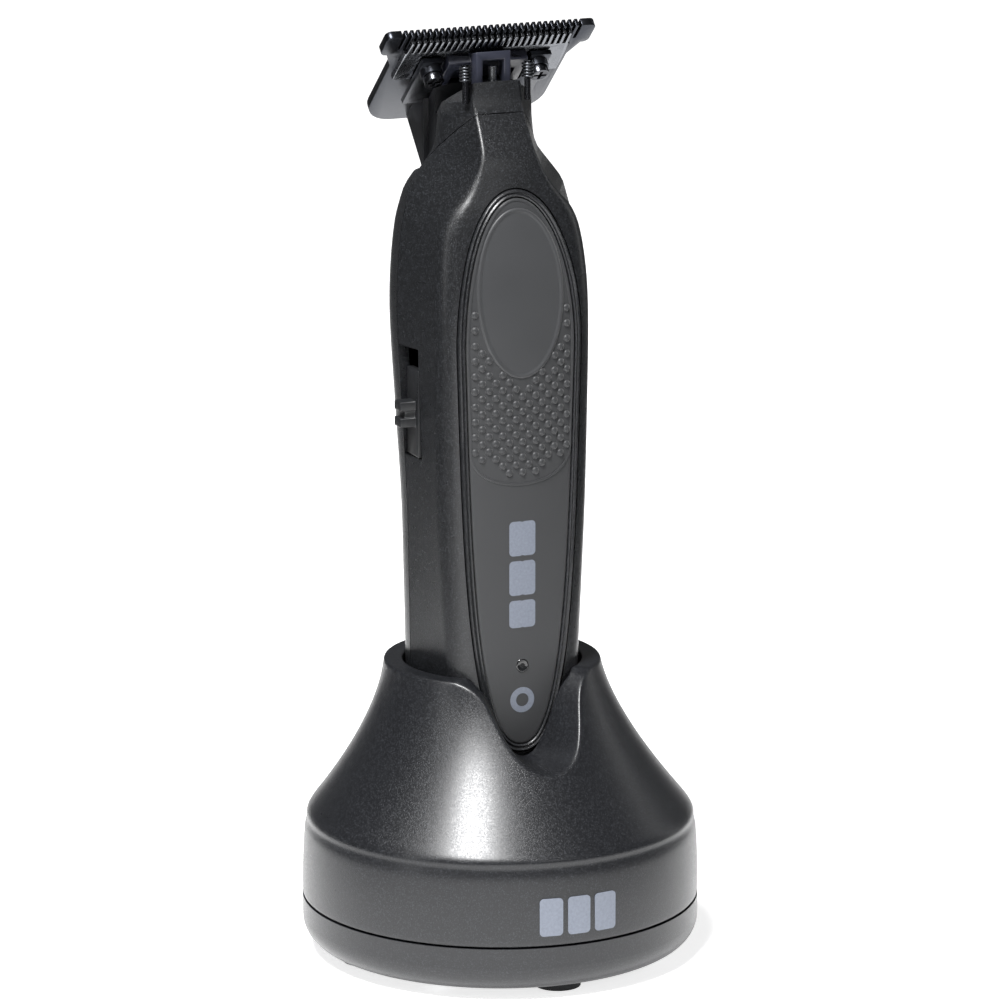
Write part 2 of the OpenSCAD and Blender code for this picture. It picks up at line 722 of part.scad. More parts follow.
// ---- Motor and drive ----
can_t = 0.8;
bush_h = 2.4;
bush_r = 2.6;
shaft_r = shaft_d / 2;
run_gap = 0.03;
module motor_can() {
    color("#b4b6b9") translate([0, motor_y, motor_low]) difference() {
        cylinder(r = motor_d / 2, h = motor_len, $fn = round_fn);
        translate([0, 0, -over]) cylinder(r = motor_d / 2 - can_t, h = motor_len + over - can_t,
            $fn = round_fn);
        cylinder(r = bush_r, h = motor_len + over, $fn = round_fn);
        for (a = [0, 180]) rotate(a) translate([mount_screw_x, 0, 0])
            cylinder(r = 0.8, h = motor_len + over, $fn = round_fn);
    }
}
mount_screw_x = 6;
module motor_end_cap() {
    color("#e6e6e2") translate([0, motor_y, motor_low]) difference() {
        union() {
            translate([0, 0, -end_cap_h]) cylinder(r = motor_d / 2 - 1, h = end_cap_h, $fn = round_fn);
            cylinder(r = motor_d / 2 - can_t - 0.02, h = 1, $fn = round_fn);
        }
        translate([0, 0, -end_cap_h - over]) cylinder(r = bush_r, h = end_cap_h + 2 * over, $fn = round_fn);
    }
}
magnet_t = 1.6;
module motor_magnets() {
    color("#3a3b3d") translate([0, motor_y, motor_low + 3]) intersection() {
        difference() {
            cylinder(r = motor_d / 2 - can_t - 0.02, h = motor_len - 8, $fn = round_fn);
            translate([0, 0, -over]) cylinder(r = motor_d / 2 - can_t - magnet_t, h = motor_len,
                $fn = round_fn);
        }
        union() for (a = [0, 180]) rotate(a) translate([2, -far / 2, 0]) cube([far, far, motor_len]);
    }
}
module motor_bushes() {
    color("#a9743c") translate([0, motor_y, 0]) for (z = [motor_low - end_cap_h, motor_top - can_t])
        translate([0, 0, z])
        difference() {
            cylinder(r = bush_r - 0.01, h = bush_h, $fn = round_fn);
            translate([0, 0, -over]) cylinder(r = shaft_r + run_gap, h = bush_h + 2 * over, $fn = round_fn);
        }
}
mount_z = motor_top + 0.05;
mount_t = 1.2;
mount_hole_r = bush_r + 0.8;
frame_low = mount_z + mount_t + 1.4;
module motor_mount() {
    color("#9b9da0") difference() {
        intersection() {
            rod(motor_d / 2 + 1.6, 0, motor_y, mount_z, mount_z + mount_t);
            bar(-far, far, motor_y - 5, motor_y + 7, 0, body_top);
        }
        rod(mount_hole_r, 0, motor_y, 0, body_top);
        for (s = [-1, 1]) rod(1.1, s * mount_screw_x, motor_y, 0, body_top);
    }
}
module motor_screws() {
    color("#85878a") for (s = [-1, 1]) {
        rod(0.78, s * mount_screw_x, motor_y, motor_top - 2.5, mount_z + mount_t + 0.1);
        rod(1.7, s * mount_screw_x, motor_y, mount_z + mount_t, mount_z + mount_t + 1);
    }
}
cam_z = mount_z + mount_t + 0.6;
cam_h = 4;
cam_r = 3;
module motor_shaft() {
    color("#cfd1d3") rod(shaft_r, 0, motor_y, motor_low - end_cap_h - 0.4, cam_z + cam_h - 0.5);
}
module motor_core() {
    color("#8c5a33") difference() {
        rod(motor_d / 2 - can_t - magnet_t - 0.5, 0, motor_y, motor_low + 4, motor_top - 6);
        rod(shaft_r, 0, motor_y, 0, body_top);
    }
}
module eccentric_cam() {
    color("#b98b45") difference() {
        rod(cam_r, 0, motor_y, cam_z, cam_z + cam_h);
        rod(shaft_r, 0, motor_y, 0, cam_z + cam_h - 0.5);
        rod(drive_r, 0, motor_y - stroke, cam_z + cam_h - 0.5, body_top);
    }
}
drive_r = 1.5;
pin_r = pin_d / 2;
pin_step_z = body_top - 6;
pin_top_z = body_top + 1.9;
module drive_pin() {
    color("#cfd1d3") {
        rod(drive_r, 0, motor_y - stroke, cam_z + cam_h - 0.5, pin_step_z);
        rod(pin_r, 0, motor_y - stroke, pin_step_z - 0.1, pin_top_z);
    }
}

// ---- Blade head, drawn flat and tipped into place ----
// In the blade's own frame X runs along the teeth, Y from the tips down the blade, and the
// skin side faces +Z with the fixed blade's outer face at Z = 0.
tip_y = 4.6;
tip_z = body_top + 9.5;
module on_blade() {
    translate([0, tip_y, tip_z]) rotate([-blade_slope, 0, 0]) children();
}
function blade_pt(v, w) = [tip_y + v * cos(blade_slope) + w * sin(blade_slope),
    tip_z - v * sin(blade_slope) + w * cos(blade_slope)];
wing_half = blade_w / 2 - 3.2;
bar_len = 5.4;
tooth_gap = tooth_pitch * 0.45;
module blade_outline() {
    offset(r = 1.2, $fn = 24) offset(delta = -1.2)
        translate([-blade_w / 2, -0.4]) square([blade_w, bar_len + 0.6]);
    offset(r = 6, $fn = 32) offset(delta = -6) translate([-wing_half, 1])
        square([2 * wing_half, blade_len - 1]);
    polygon([[-blade_w / 2 + 1.4, bar_len], [blade_w / 2 - 1.4, bar_len],
        [wing_half, bar_len + 4], [-wing_half, bar_len + 4]]);
}
tooth_count = floor((blade_w / 2 - 2) / tooth_pitch);
module tooth_cuts(thick, long, reach) {
    for (i = [-tooth_count:tooth_count - 1])
        translate([(i + 0.5) * tooth_pitch - tooth_gap / 2, -over, -thick])
        cube([tooth_gap, long + over, reach]);
}
blade_screw_v = 8.2;
module fixed_blade() {
    color("#2e3136") on_blade() difference() {
        translate([0, 0, -blade_t]) linear_extrude(blade_t) blade_outline();
        tooth_cuts(blade_t + over, tooth_len, blade_t + 2 * over);
        for (s = [-1, 1]) translate([s * screw_x, blade_screw_v, -blade_t - over])
            cylinder(r = blade_screw_r, h = blade_t + over - 0.4, $fn = round_fn);
    }
}
blade_gap = 0.05;
moving_t = 1;
moving_top = -blade_t - blade_gap;
moving_half = blade_w / 2 - 4.5;
moving_low = 13;
blade_screw_r = 1;
module moving_blade() {
    color("#4a4c50") on_blade() difference() {
        translate([-moving_half, 0.6, moving_top - moving_t])
            cube([2 * moving_half, moving_low - 0.6, moving_t]);
        tooth_cuts(-moving_top + moving_t + over, tooth_len, moving_t + 2 * over);
        for (s = [-1, 1], k = [-1, 0, 1])
            translate([s * screw_x + k * (stroke + slide_gap), blade_screw_v, -far / 2])
            cylinder(r = blade_screw_r + slide_gap, h = far, $fn = round_fn);
        for (s = [-1, 1]) translate([s * screw_x, blade_screw_v, -far / 4])
            cube([2 * (stroke + slide_gap), 2 * (blade_screw_r + slide_gap), far / 2], center = true);
    }
}
yoke_half = screw_x - 2.7;
yoke_v = 5.2;
yoke_top = moving_top - moving_t;
yoke_t = 2;
fork_slot = pin_d + 4 * stroke + 0.4;
tine_w = 1.35;
fork_half = fork_slot / 2 + tine_w;
fork_y0 = motor_y - 1.3;
fork_y1 = motor_y + 1.3;
fork_low = body_top - 5;
arm_z = body_top + 3.2;
module cutter_yoke() {
    color("#232530") {
        difference() {
            on_blade() translate([-yoke_half, yoke_v, yoke_top - yoke_t])
                cube([2 * yoke_half, moving_low - yoke_v - 0.2, yoke_t]);
            on_blade() translate([-yoke_half + 2, yoke_v + 3, yoke_top - yoke_t - over])
                cube([2 * yoke_half - 4, far, yoke_t + over - 0.6]);
        }
        side_plate(fork_half, [[fork_y0, arm_z], blade_pt(yoke_v, yoke_top - yoke_t),
            blade_pt(yoke_v + 3, yoke_top - yoke_t), blade_pt(yoke_v + 1, yoke_top - 0.1),
            blade_pt(yoke_v + 0.1, yoke_top - 0.1), [fork_y0, arm_z + 1.6]]);
        for (s = [-1, 1]) translate([s * (fork_slot + tine_w) / 2, 0, 0])
            bar(-tine_w / 2, tine_w / 2, fork_y0, fork_y1, fork_low, arm_z + 0.8);
    }
}
bracket_top = yoke_top - slide_gap;
bracket_t = 1;
bracket_half = screw_x + 2.4;
bracket_low = 19.6;
ear_in = yoke_half + stroke + slide_gap;
boss_t = 1.4;
// Two small screws hold the bracket to the head, at these places on the blade's plane
clamp_x = 5;
clamp_v = 16.4;
clamp_screw_r = 0.8;
module blade_bracket() {
    color("#202226") on_blade() difference() {
        union() {
            translate([-bracket_half, 5.4, bracket_top - bracket_t])
                cube([2 * bracket_half, bracket_low - 5.4, bracket_t]);
            for (s = [-1, 1]) translate([s * screw_x, blade_screw_v, bracket_top - bracket_t - boss_t])
                cylinder(r = 2.2, h = boss_t + 0.1, $fn = round_fn);
        }
        translate([-ear_in, 0, -far / 2]) cube([2 * ear_in, moving_low + 0.4, far]);
        for (s = [-1, 1]) translate([s * screw_x, blade_screw_v, -far / 2])
            cylinder(r = blade_screw_r + 0.1, h = far, $fn = round_fn);
        for (s = [-1, 1]) translate([s * clamp_x, clamp_v, -far / 2])
            cylinder(r = clamp_screw_r + 0.1, h = far, $fn = round_fn);
    }
}
module blade_screws() {
    head_low = bracket_top - bracket_t - boss_t - 1.5;
    color("#3b3c3f") on_blade() for (s = [-1, 1]) translate([s * screw_x, blade_screw_v, 0]) difference() {
        union() {
            translate([0, 0, head_low]) cylinder(r = 1.9, h = 1.5, $fn = round_fn);
            translate([0, 0, head_low + 1.4])
                cylinder(r = blade_screw_r, h = -0.8 - head_low - 1.4, $fn = round_fn);
        }
        for (b = [0, 90]) translate([0, 0, head_low]) rotate(b) cube([2.6, 0.6, 1.2], center = true);
    }
}
module bracket_screws() {
    color("#3b3c3f") on_blade() for (s = [-1, 1]) translate([s * clamp_x, clamp_v, bracket_top]) {
        cylinder(r = 1.5, h = 0.8, $fn = round_fn);
        translate([0, 0, -bracket_t - 3]) cylinder(r = clamp_screw_r, h = bracket_t + 3.1, $fn = round_fn);
    }
}
block_y = nose_seam_y + 6.3;
block_half = 9.3;
flange_t = 1.6;
bar_half = 8.3;
shelf_w = bracket_top - bracket_t;
shelf_v = bracket_low + 0.3;
bar_top = body_top - 8;
bar_step_y = nose_seam_y + 2.8;
// Heights where the blade's planes cross a given Y
function plane_z(y, w) = tip_z - (y - tip_y - w * sin(blade_slope)) * tan(blade_slope) + w * cos(blade_slope);
module head_frame() {
    color("#2b2c30") difference() {
        union() {
            side_plate(block_half, [[block_y, frame_low], [block_y + 1.6, frame_low],
                [rear_y_at(shell_top_z) - 1.2, shell_top_z],
                blade_pt(blade_len - 1, -blade_t), blade_pt(shelf_v, -blade_t), blade_pt(shelf_v, shelf_w),
                [block_y, plane_z(block_y, shelf_w)]]);
            side_plate(bar_half, [[nose_seam_y + seam_gap, frame_low],
                [nose_seam_y + seam_gap, bar_top], [bar_step_y, bar_top],
                [bar_step_y, plane_z(bar_step_y, shelf_w)], [block_y, plane_z(block_y, shelf_w)],
                    [block_y, frame_low]]);
            translate([0, 0, frame_low]) linear_extrude(flange_t) intersection() {
                polygon([for (p = ring((frame_low + flange_t - body_z) / body_len, -wall - 0.1))
                    [p[0], p[1]]]);
                translate([-far, -far]) square([2 * far, far + block_y + 1]);
            }
        }
        rod(cam_r + 1.4, 0, motor_y, 0, body_top);
        for (s = [-1, 1]) rod(2.1, s * mount_screw_x, motor_y, 0, frame_low + 0.4);
        on_blade() for (s = [-1, 1]) translate([s * clamp_x, clamp_v, shelf_w - 3.2])
            cylinder(r = clamp_screw_r, h = 4, $fn = round_fn);
    }
}
// Room in the rear shell for the frame's block
module neck_passage() {
    side_plate(block_half + 0.1, [[seam_y, frame_low - 0.2], [block_y + 1.7, frame_low - 0.2],
        [rear_y_at(shell_top_z) - 1.1, shell_top_z], [rear_y_at(shell_top_z) - 1.1, body_top],
        [seam_y, body_top]]);
}
spring_x = yoke_half - 1.8;
spring_y = fork_y0 - 1.4;
spring_r = 1.05;
wire_r = 0.22;
spring_low = body_top - 0.6;
spring_high = arm_z - 0.4;
turns = 5;
ring_sides = 5;
turn_steps = 10;
// Helix of a small compression spring, swept as one closed tube
module coil(x, y) {
    n = turns * turn_steps;
    path = [for (i = [0:n]) [x + spring_r * cos(360 * i / turn_steps),
        y + spring_r * sin(360 * i / turn_steps),
        spring_low + wire_r + (spring_high - spring_low - 2 * wire_r) * i / n]];
    points = [for (i = [0:n], k = [0:ring_sides - 1])
        let (a = 360 * k / ring_sides, t = 360 * i / turn_steps)
        path[i] + [wire_r * cos(a) * cos(t), wire_r * cos(a) * sin(t), wire_r * sin(a)]];
    faces = concat(
        [for (i = [0:n - 1], k = [0:ring_sides - 1]) let (m = (k + 1) % ring_sides)
            each [[i * ring_sides + k, i * ring_sides + m, (i + 1) * ring_sides + m],
                [i * ring_sides + k, (i + 1) * ring_sides + m, (i + 1) * ring_sides + k]]],
        [[for (k = [ring_sides - 1:-1:0]) k], [for (k = [0:ring_sides - 1]) n * ring_sides + k]]);
    polyhedron(points = points, faces = faces);
}
module tension_springs() {
    color("#9a9ca0") for (s = [-1, 1]) coil(s * spring_x, spring_y);
}
module spring_posts() {
    color("#b9bbbe") for (s = [-1, 1]) rod(0.6, s * spring_x, spring_y, spring_low - 4, spring_high);
}

stand_shell();
base_ring();
base_plate();
stand_feet();
stand_screws();
ballast_plate();
stand_board();
power_inlet();
contact_block();
pin_barrels();
stand_leads();
charge_pins();
front_shell();
rear_shell();
nose_cover();
head_frame();
grip_panel();
panel_bezel();
light_pipe();
status_light();
circuit_board();
charge_chip();
battery_cell();
battery_cradle();
battery_tabs();
contact_plate();
charge_contacts();
housing_screws();
switch_button();
switch_lever();
slide_switch();
switch_board();
motor_can();
motor_end_cap();
motor_magnets();
motor_bushes();
motor_mount();
motor_screws();
motor_shaft();
motor_core();
eccentric_cam();
drive_pin();
fixed_blade();
moving_blade();
cutter_yoke();
blade_bracket();
blade_screws();
bracket_screws();
tension_springs();
spring_posts();
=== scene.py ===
from math import asin, atan2, ceil, cos, hypot, pi, radians, sin, sqrt

import bmesh
import bpy
from mathutils import Matrix, Vector


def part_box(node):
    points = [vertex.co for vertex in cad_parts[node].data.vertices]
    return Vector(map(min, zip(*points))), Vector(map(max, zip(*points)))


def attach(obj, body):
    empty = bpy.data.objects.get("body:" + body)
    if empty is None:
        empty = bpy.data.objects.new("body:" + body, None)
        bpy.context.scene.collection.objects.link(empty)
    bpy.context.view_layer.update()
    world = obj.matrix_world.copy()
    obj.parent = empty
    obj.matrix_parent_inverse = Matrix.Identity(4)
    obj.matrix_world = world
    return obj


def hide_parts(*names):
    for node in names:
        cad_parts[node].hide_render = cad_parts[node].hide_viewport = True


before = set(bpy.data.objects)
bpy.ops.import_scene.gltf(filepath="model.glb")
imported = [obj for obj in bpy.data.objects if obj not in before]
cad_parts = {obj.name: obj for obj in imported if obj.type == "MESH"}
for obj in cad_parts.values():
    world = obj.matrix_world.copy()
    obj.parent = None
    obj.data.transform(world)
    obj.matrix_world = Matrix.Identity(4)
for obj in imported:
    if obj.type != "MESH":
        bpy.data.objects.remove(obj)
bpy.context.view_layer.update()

# ---- Camera, floor and light ----
# The clipper in its stand is seen from a little above and to its left, on a white floor. The lens
# is long, so that the upright body stays upright. A small high key light draws the highlights on
# the black mouldings, two strips edge their sides, and a weak light opens up the front.
AIM = Vector((0, 0, 0.0893))
DISTANCE = 1.198
AZIMUTH, ELEVATION = radians(-23), radians(13.7)
view_from = Vector((sin(AZIMUTH) * cos(ELEVATION), -cos(AZIMUTH) * cos(ELEVATION), sin(ELEVATION)))
camera_data = bpy.data.cameras.new("camera")
camera_data.sensor_width = 36
camera_data.lens = 223.8
camera = bpy.data.objects.new("camera", camera_data)
camera.location = AIM + view_from * DISTANCE
camera.rotation_euler = (-view_from).to_track_quat("-Z", "Y").to_euler()
bpy.context.scene.collection.objects.link(camera)
bpy.context.scene.camera = camera


def srgb(code):
    """A colour written as six hex digits of sRGB, as the linear values that shaders use."""
    parts = [int(code[i:i + 2], 16) / 255 for i in (1, 3, 5)]
    return tuple(c / 12.92 if c <= 0.04045 else ((c + 0.055) / 1.055) ** 2.4 for c in parts) + (1,)


def node(tree, kind, inputs=None, **settings):
    """Adds one node. Each input is a value, or an output socket of another node to link from."""
    made = tree.nodes.new(kind)
    for name, value in settings.items():
        setattr(made, name, value)
    for name, value in (inputs or {}).items():
        if isinstance(value, bpy.types.NodeSocket):
            tree.links.new(value, made.inputs[name])
        else:
            made.inputs[name].default_value = value
    return made


def blank_material(name):
    """An empty material: its node tree, its shader and the object's own coordinates."""
    material = bpy.data.materials.new(name)
    material.use_nodes = True
    tree = material.node_tree
    tree.nodes.clear()
    shader = node(tree, "ShaderNodeBsdfPrincipled")
    node(tree, "ShaderNodeOutputMaterial", {"Surface": shader.outputs["BSDF"]})
    return material, tree, shader, node(tree, "ShaderNodeTexCoord").outputs["Object"]


def soft_box(name, at, size, power):
    """A white studio light of that size, turned to face the clipper."""
    light = bpy.data.lights.new(name, "AREA")
    light.shape = "RECTANGLE"
    light.size, light.size_y = size
    light.energy = power
    lamp = bpy.data.objects.new(name, light)
    lamp.location = at
    lamp.rotation_euler = (AIM - Vector(at)).to_track_quat("-Z", "Y").to_euler()
    bpy.context.scene.collection.objects.link(lamp)


soft_box("key_light", (-0.42, -0.36, 1.05), (0.26, 0.26), 26)
soft_box("left_strip", (-1.0, -0.28, 0.4), (0.1, 0.9), 1.2)
soft_box("right_strip", (0.95, 0.1, 0.4), (0.1, 0.9), 0.7)
soft_box("front_light", (0.2, -1.2, 0.75), (0.5, 0.3), 1.2)
world = bpy.data.worlds.new("room")
world.use_nodes = True
world.node_tree.nodes["Background"].inputs["Color"].default_value = srgb("#e9eaec")
world.node_tree.nodes["Background"].inputs["Strength"].default_value = 0.12
bpy.context.scene.world = world
bpy.context.scene.view_settings.view_transform = "Standard"

# The floor is a lane along the line of sight, wider further off. It glows, which keeps it white,
# and it ends beside the object, so that the black sides mirror the dark room and not the floor.
ahead = Vector((-sin(AZIMUTH), cos(AZIMUTH), 0))
across = Vector((ahead.y, -ahead.x, 0))
floor_mesh = bmesh.new()
lane = ((-0.6, -0.12), (-0.6, 0.12), (3, 0.34), (3, -0.34))
floor_mesh.faces.new([floor_mesh.verts.new(ahead * far + across * side) for far, side in lane])
floor_data = bpy.data.meshes.new("floor")
floor_mesh.to_mesh(floor_data)
floor_mesh.free()
floor = bpy.data.objects.new("floor", floor_data)
bpy.context.scene.collection.objects.link(floor)
floor_paint, tree, shader, _ = blank_material("matt_white_table")
shader.inputs["Base Color"].default_value = srgb("#fafafa")
shader.inputs["Roughness"].default_value = 0.7
shader.inputs["Emission Color"].default_value = srgb("#ffffff")
shader.inputs["Emission Strength"].default_value = 0.75
floor_data.materials.append(floor_paint)

# ---- Bottom of the stand: ring, plate, feet, screws, weight ----
# The lower ring is a turned-looking ABS moulding with a plate screwed up into it from below.
# Four rubber feet sit in recesses of the plate, and a punched steel disc gives the stand weight.
MM = 0.001


def moulded(name, colour, rough=0.42, grain=0.22, depth=0.01, mottle=0.1):
    """Injection-moulded ABS from a spark-eroded tool: an even satin black with a fine grain.
    grain is the width of one grain in millimetres, and depth is how deep it reads."""
    material, tree, shader, place = blank_material(name)
    cloud = node(tree, "ShaderNodeTexNoise", {"Vector": place, "Scale": 1 / (9 * MM), "Detail": 3})
    tone = node(tree, "ShaderNodeMapRange", {
        "Value": cloud.outputs["Fac"], "To Min": 1 - mottle, "To Max": 1 + mottle})
    paint = node(tree, "ShaderNodeMix", {0: 1.0, 6: srgb(colour), 7: tone.outputs["Result"]},
                 data_type="RGBA", blend_type="MULTIPLY")
    sheen = node(tree, "ShaderNodeMapRange", {
        "Value": cloud.outputs["Fac"], "To Min": rough - 0.05, "To Max": rough + 0.05})
    grit = node(tree, "ShaderNodeTexNoise", {"Vector": place, "Scale": 1 / (grain * MM), "Detail": 2})
    bump = node(tree, "ShaderNodeBump", {
        "Height": grit.outputs["Fac"], "Strength": 0.35, "Distance": depth * MM})
    tree.links.new(paint.outputs[2], shader.inputs["Base Color"])
    tree.links.new(sheen.outputs["Result"], shader.inputs["Roughness"])
    tree.links.new(bump.outputs["Normal"], shader.inputs["Normal"])
    return material


def flaked_black(name, colour="#17181a", flake="#34363a", rough=0.33):
    """Satin black paint with fine metal flakes: flakes that catch the light are a little brighter,
    and each leans its own way, which breaks a highlight up into glitter."""
    material, tree, shader, place = blank_material(name)
    chips = node(tree, "ShaderNodeTexVoronoi", {"Vector": place, "Scale": 1 / (0.2 * MM)})
    pick = node(tree, "ShaderNodeMapRange", {
        "Value": chips.outputs["Color"], "From Min": 0.6, "From Max": 1.0})
    paint = node(tree, "ShaderNodeMix", {0: pick.outputs["Result"], 6: srgb(colour), 7: srgb(flake)},
                 data_type="RGBA")
    tilt = node(tree, "ShaderNodeBump", {
        "Height": chips.outputs["Color"], "Strength": 0.4, "Distance": 0.035 * MM})
    sheen = node(tree, "ShaderNodeMapRange",
                 {"Value": chips.outputs["Color"], "To Min": rough - 0.07, "To Max": rough + 0.08})
    tree.links.new(paint.outputs[2], shader.inputs["Base Color"])
    tree.links.new(tilt.outputs["Normal"], shader.inputs["Normal"])
    tree.links.new(sheen.outputs["Result"], shader.inputs["Roughness"])
    shader.inputs["Metallic"].default_value = 0.15
    shader.inputs["Specular IOR Level"].default_value = 0.62
    return material


def worked_metal(name, colour, rough=0.3, scratch=(0.05, 2.5, 0.4), depth=0.004, grey=0.15):
    """Metal that was ground, drawn or turned: fine scratches run one way, and the tone drifts a little.
    scratch is the spacing of the marks along X, Y and Z in millimetres."""
    material, tree, shader, place = blank_material(name)
    stretched = node(tree, "ShaderNodeMapping", {"Vector": place, "Scale": [1 / (s * MM) for s in scratch]})
    marks = node(tree, "ShaderNodeTexNoise", {
        "Vector": stretched.outputs["Vector"], "Scale": 1.0, "Detail": 2})
    tone = node(tree, "ShaderNodeMapRange", {
        "Value": marks.outputs["Fac"], "To Min": 1 - grey, "To Max": 1 + grey})
    paint = node(tree, "ShaderNodeMix", {0: 1.0, 6: srgb(colour), 7: tone.outputs["Result"]},
                 data_type="RGBA", blend_type="MULTIPLY")
    sheen = node(tree, "ShaderNodeMapRange", {
        "Value": marks.outputs["Fac"], "To Min": rough - 0.07, "To Max": rough + 0.09})
    bump = node(tree, "ShaderNodeBump", {
        "Height": marks.outputs["Fac"], "Strength": 0.3, "Distance": depth * MM})
    tree.links.new(paint.outputs[2], shader.inputs["Base Color"])
    tree.links.new(sheen.outputs["Result"], shader.inputs["Roughness"])
    tree.links.new(bump.outputs["Normal"], shader.inputs["Normal"])
    shader.inputs["Metallic"].default_value = 1
    return material


def paint_cad(material, *names):
    """Gives CAD pieces whose shape is right their finish."""
    for name in names:
        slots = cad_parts[name].data.materials
        slots.clear()
        slots.append(material)


stand_abs = flaked_black("stand_satin_black", "#17181b", "#303236", rough=0.34)
plate_abs = moulded("plate_abs_matt_black", "#26272a", rough=0.55)
foot_rubber = moulded("foot_rubber", "#1c1d1f", rough=0.8, grain=0.4, depth=0.03)
zinc_steel = worked_metal("zinc_plated_steel", "#a9abad", rough=0.35, scratch=(0.4, 0.4, 0.4))
sheet_steel = worked_metal("punched_sheet_steel", "#9a9c9f", rough=0.38, scratch=(0.12, 3, 0.12))
paint_cad(stand_abs, "base_ring")
paint_cad(plate_abs, "base_plate", "contact_block", "battery_cradle", "contact_plate", "switch_lever")
paint_cad(foot_rubber, "stand_feet")
paint_cad(zinc_steel, "stand_screws", "housing_screws", "motor_screws")
paint_cad(sheet_steel, "ballast_plate", "battery_tabs", "slide_switch", "motor_mount")

# ---- Stand shell ----
# One ABS moulding: a short straight wall, a flared cone that leans back, a rolled rim, a scoop
# for the thumb in front, and inside it the well that the clipper drops into. The well follows
# the clipper's own outline with a small gap all round, so that outline is set out here.
body_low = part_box("front_shell")[0].z / MM
body_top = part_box("nose_cover")[1].z / MM
body_len = body_top - body_low
seam_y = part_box("rear_shell")[0].y / MM - 0.1
body_half_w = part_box("rear_shell")[1].x / MM
front_depth = seam_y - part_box("front_shell")[0].y / MM
rear_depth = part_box("rear_shell")[1].y / MM - seam_y
FRONT_FLAT = 10.6
CORNER_R = 5.4
FRONT_BOW = 1.0
BACK_POWER = 2.4
LEAST_R = 0.3
# Share of the length, then shares of half width, front depth, rear depth, flat and corner radius
BODY_SHAPE = (
    (0, 0.667, 0.75, 0.50, 0.60, 0.74),
    (0.014, 0.763, 0.886, 0.633, 0.66, 0.85),
    (0.04, 0.812, 0.96, 0.707, 0.70, 0.93),
    (0.08, 0.839, 0.994, 0.74, 0.74, 0.98),
    (0.17, 0.858, 1, 0.76, 0.78, 1),
    (0.32, 0.879, 1, 0.80, 0.88, 1),
    (0.42, 0.895, 1, 0.86, 0.94, 1),
    (0.54, 0.946, 1, 0.94, 0.98, 1),
    (0.67, 1, 1, 1, 1, 1),
    (0.74, 0.989, 0.96, 0.993, 0.98, 1),
    (0.80, 0.946, 0.881, 0.927, 0.915, 0.91),
    (0.83, 0.892, 0.83, 0.86, 0.81, 0.74),
    (0.85, 0.839, 0.784, 0.80, 0.66, 0.54),
    (0.875, 0.694, 0.727, 0.72, 0.53, 0.33),
    (0.90, 0.554, 0.66, 0.64, 0.453, 0.185),
    (0.93, 0.511, 0.511, 0.58, 0.425, 0.15),
    (0.96, 0.50, 0.358, 0.54, 0.415, 0.15),
    (1, 0.495, 0.267, 0.53, 0.415, 0.15))


def shape_at(share):
    """The five shares of the body's outline at one height, on a smooth curve through the table."""
    rows, last = BODY_SHAPE, len(BODY_SHAPE) - 1
    i = next((k for k in range(last) if share <= rows[k + 1][0]), last - 1)
    gap = rows[i + 1][0] - rows[i][0]
    s = (share - rows[i][0]) / gap

    def slope(k, c):
        a, b = rows[max(k - 1, 0)], rows[min(k + 1, last)]
        return (b[c] - a[c]) / (b[0] - a[0])

    return [(2 * s ** 3 - 3 * s ** 2 + 1) * rows[i][c] + (s ** 3 - 2 * s ** 2 + s) * gap * slope(i, c)
            + (3 * s ** 2 - 2 * s ** 3) * rows[i + 1][c] + (s ** 3 - s ** 2) * gap * slope(i + 1, c)
            for c in range(1, 6)]


def section_at(z, off=0.0):
    """Half width, front, rear depth, flat, corner radius and bow of the body at height z."""
    wide, front, rear, flat, corner = shape_at((z - body_low) / body_len)
    wanted = CORNER_R * corner + off
    radius = max(wanted, LEAST_R)
    return (body_half_w * wide + off, seam_y - front_depth * front - off, rear_depth * rear + off,
            FRONT_FLAT * flat - (radius - wanted) * 0.8, radius, FRONT_BOW * flat * flat)


def skin_y(x, z):
    """How far forward the front of the body stands at x and z."""
    _, front, _, flat, radius, bow = section_at(z)
    beyond = abs(x) - flat
    if beyond <= 0:
        return front + bow * (x / flat) ** 2
    beyond = min(beyond, radius)
    return front + bow + radius - sqrt(radius ** 2 - beyond ** 2)


REAR_STEPS, ARC_STEPS, CROWN_STEPS = 40, 10, 12


def body_ring(z, off=0.0):
    """One closed outline of the body, from its right side round the back to the front."""
    wide, front, rear, flat, radius, bow = section_at(z, off)
    ring = []
    for i in range(REAR_STEPS + 1):
        turn = pi * i / REAR_STEPS
        side = 1 if cos(turn) > 0 else -1
        ring.append((wide * side * abs(cos(turn)) ** (2 / BACK_POWER),
                     seam_y + rear * abs(sin(turn)) ** (2 / BACK_POWER), z))
    for i in range(ARC_STEPS + 1):
        turn = pi + pi / 2 * i / ARC_STEPS
        ring.append((-flat + radius * cos(turn), front + bow + radius + radius * sin(turn), z))
    for i in range(1, CROWN_STEPS):
        s = 2 * i / CROWN_STEPS - 1
        ring.append((flat * s, front + bow * s * s, z))
    for i in range(ARC_STEPS + 1):
        turn = 1.5 * pi + pi / 2 * i / ARC_STEPS
        ring.append((flat + radius * cos(turn), front + bow + radius + radius * sin(turn), z))
    return ring


def skin(mesh, rings):
    """Lofts a surface through rings of equally many points: draws the first and extrudes it onward."""
    line = [mesh.verts.new(p) for p in rings[0]]
    first, count = line, len(line)
    edges = [mesh.edges.new((line[i], line[(i + 1) % len(line)])) for i in range(count)]
    for ring in rings[1:]:
        grown = bmesh.ops.extrude_edge_only(mesh, edges=edges)["geom"]
        fresh = {v for v in grown if isinstance(v, bmesh.types.BMVert)}
        line = [next(e.other_vert(v) for e in v.link_edges if e.other_vert(v) in fresh) for v in line]
        for vert, point in zip(line, ring):
            vert.co = point
        edges = [mesh.edges.get((line[i], line[(i + 1) % len(line)])) for i in range(count)]
    return first, line


